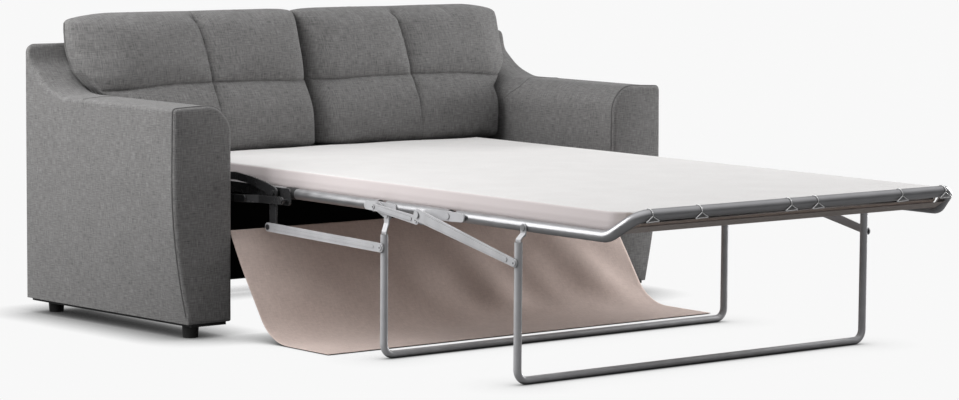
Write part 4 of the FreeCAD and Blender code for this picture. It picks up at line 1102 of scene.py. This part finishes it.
def make_base_trim():
    """Black strips that follow the undersides of the arms, set back from their edges."""
    ahead = np.linspace(0.024, 0.818, 40)[:, None]
    edge = ARM_OUT - forward_share(ahead) * (ARM_OUT - ARM_TOE) - TRIM_BACK
    soft, inner = 0.002, 0 * edge + TRIM_INNER
    x = np.concatenate([inner, edge - soft, edge, edge, inner], axis=1)
    z = np.array([TRIM_LOW, TRIM_LOW, TRIM_LOW + soft, TRIM_HIGH, TRIM_HIGH])[None, :]
    points = np.stack(np.broadcast_arrays(x, BACK - ahead, z), axis=-1)
    rings, around = x.shape
    for side, turn in SIDES:
        faces, caps = grid_faces(rings, around, True), end_caps(rings, around)
        made = piece(f"{side}_base_trim", points * turn, faces, BLACK_PLASTIC, caps)
        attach(made, "root")


def make_wing_seams():
    """The sewn line across each arm in front of its raised corner, laid on the arm's own sections."""
    line, count = np.array(WING_SEAM), 60
    at = np.linspace(0, len(line) - 1, count)
    place = np.stack([np.interp(at, np.arange(len(line)), line[:, axis]) for axis in range(3)], axis=-1)
    section = arm_section(place[:, 0])
    nearest = np.argmin(np.linalg.norm(section - place[:, None, 1:], axis=2), axis=1)
    snapped = section[np.arange(count), nearest]
    snapped[1:-1] = 0.25 * snapped[:-2] + 0.5 * snapped[1:-1] + 0.25 * snapped[2:]
    path = np.stack([snapped[:, 0], BACK - place[:, 0], snapped[:, 1]], axis=-1)
    for side, turn in SIDES:
        seam = rod(f"{side}_wing_seam", path * turn, 0.0013, PIPING, 6)
        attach(seam, "root")


make_decks()
make_hooks()
make_fittings()
make_base_trim()
make_wing_seams()


# ---------------------------------------------------------------- finishes of the frame's own parts

FINISHES = {
    "silver_steel": SILVER,
    "dark_steel": DARK_STEEL,
    "black_plastic": BLACK_PLASTIC,
    "black_lining": LINING,
    "deck_fabric": DECK,
    "upholstery": LINEN,
    "mattress": TICKING,
    "dust_cloth": DUST,
}
PAINTED_KINDS = ("leg", "brace", "drag_link", "stiffener", "hinge_plate")


def dress_frame():
    """Gives every part of the frame its own slot's finish; silver pressed parts and legs are painted."""
    for sub in frame["record"]["subparts"]:
        shown = frame["nodes"][sub["node"]]
        finish = FINISHES[sub["material_slot"]]
        if finish is SILVER and any(kind in sub["node"] for kind in PAINTED_KINDS):
            finish = PAINTED
        shown.data.materials.clear()
        shown.data.materials.append(finish)


dress_frame()


# ---------------------------------------------------------------- stage, light and camera

FLOOR_HALF = 60.0
LIT_PLACE = (0.0, 0.5, 0.4)
SOFTBOXES = (
    ("left_softbox", (-2.60, 1.10, 1.90), 2.5, 80.0),
    ("right_softbox", (3.2, -0.4, 0.85), 1.2, 74.0),
)
CAMERA_PLACE = (-6.1088, -7.3370, 1.3543)
CAMERA_YAW, CAMERA_FALL, CAMERA_ROLL = 39.1815, 5.7651, 0.4191
CAMERA_LENS = 121.48


def grey(level):
    """A neutral colour."""
    return (level, level, level, 1)


def make_floor():
    """A pale floor without an edge that glows for the camera, with painted shadow close around the feet."""
    half = FLOOR_HALF
    corners = np.array([[(-half, -half, 0), (half, -half, 0)], [(-half, half, 0), (half, half, 0)]])
    finish = bpy.data.materials.new("pale_floor")
    finish.use_nodes = True
    use = Shader(finish.node_tree)
    use.tree.nodes.clear()
    matt = use.add("ShaderNodeBsdfDiffuse", {"Color": grey(0.22)})
    # painted shadow: ambient occlusion dims the floor's glow for the camera close to the sofa and its legs
    painted_shade_ao = use.add("ShaderNodeAmbientOcclusion", {"Distance": 0.17}, samples=12)
    painted_shadow_dimming = use.math("POWER", painted_shade_ao.outputs["AO"], 1.5)
    glow = use.add("ShaderNodeEmission", {"Color": grey(0.94), "Strength": painted_shadow_dimming})
    eye = use.add("ShaderNodeLightPath").outputs["Is Camera Ray"]
    both = use.add("ShaderNodeMixShader", {0: eye, 1: matt.outputs[0], 2: glow.outputs[0]})
    use.add("ShaderNodeOutputMaterial", {0: both.outputs[0]})
    piece("floor", corners, grid_faces(2, 2, False), finish, closed=False)


def make_daylight():
    """Even daylight that grows with height, in front of a plain pale backdrop."""
    world = bpy.data.worlds.new("studio")
    bpy.context.scene.world = world
    world.use_nodes = True
    use = Shader(world.node_tree)
    use.tree.nodes.clear()
    place = use.add("ShaderNodeTexCoord").outputs["Generated"]
    high = use.add("ShaderNodeSeparateXYZ", {0: place}).outputs[2]
    level = use.math("POWER", use.math("MAXIMUM", high, 0.0), 1.6)
    dome = use.mix(level, grey(0.04), (1.30, 1.30, 1.31, 1))
    eye = use.add("ShaderNodeLightPath").outputs["Is Camera Ray"]
    light = use.add("ShaderNodeBackground", {"Color": use.mix(eye, dome, grey(0.95)), "Strength": 1.0})
    use.add("ShaderNodeOutputWorld", {0: light.outputs[0]})


def make_softboxes():
    """Two square lamps that face the sofa: one high over its left arm, and a low one on its right."""
    for name, place, size, power in SOFTBOXES:
        lamp = bpy.data.lights.new(name, "AREA")
        lamp.energy, lamp.size = power, size
        soft = bpy.data.objects.new(name, lamp)
        towards = Vector(LIT_PLACE) - Vector(place)
        soft.matrix_world = Matrix.Translation(place) @ towards.to_track_quat("-Z", "Y").to_matrix().to_4x4()
        soft.visible_camera = False
        bpy.context.scene.collection.objects.link(soft)


def make_camera():
    """The camera's place, heading, fall and roll, as one matrix of its right, up and backward directions."""
    yaw, pitch, roll = map(math.radians, (CAMERA_YAW, CAMERA_FALL, CAMERA_ROLL))
    heading = Vector((math.sin(yaw) * math.cos(pitch), math.cos(yaw) * math.cos(pitch), -math.sin(pitch)))
    level = Vector((math.cos(yaw), -math.sin(yaw), 0))
    upright = level.cross(heading)
    right = level * math.cos(roll) + upright * math.sin(roll)
    up = upright * math.cos(roll) - level * math.sin(roll)
    lens = bpy.data.cameras.new("camera")
    lens.lens = CAMERA_LENS
    lens.sensor_width = 36
    lens.clip_end = 200
    camera = bpy.data.objects.new("camera", lens)
    turn = Matrix((right, up, -heading)).transposed().to_4x4()
    camera.matrix_world = Matrix.Translation(CAMERA_PLACE) @ turn
    bpy.context.scene.collection.objects.link(camera)
    bpy.context.scene.camera = camera


make_floor()
make_daylight()
make_softboxes()
make_camera()
bpy.context.scene.view_settings.view_transform = "Standard"
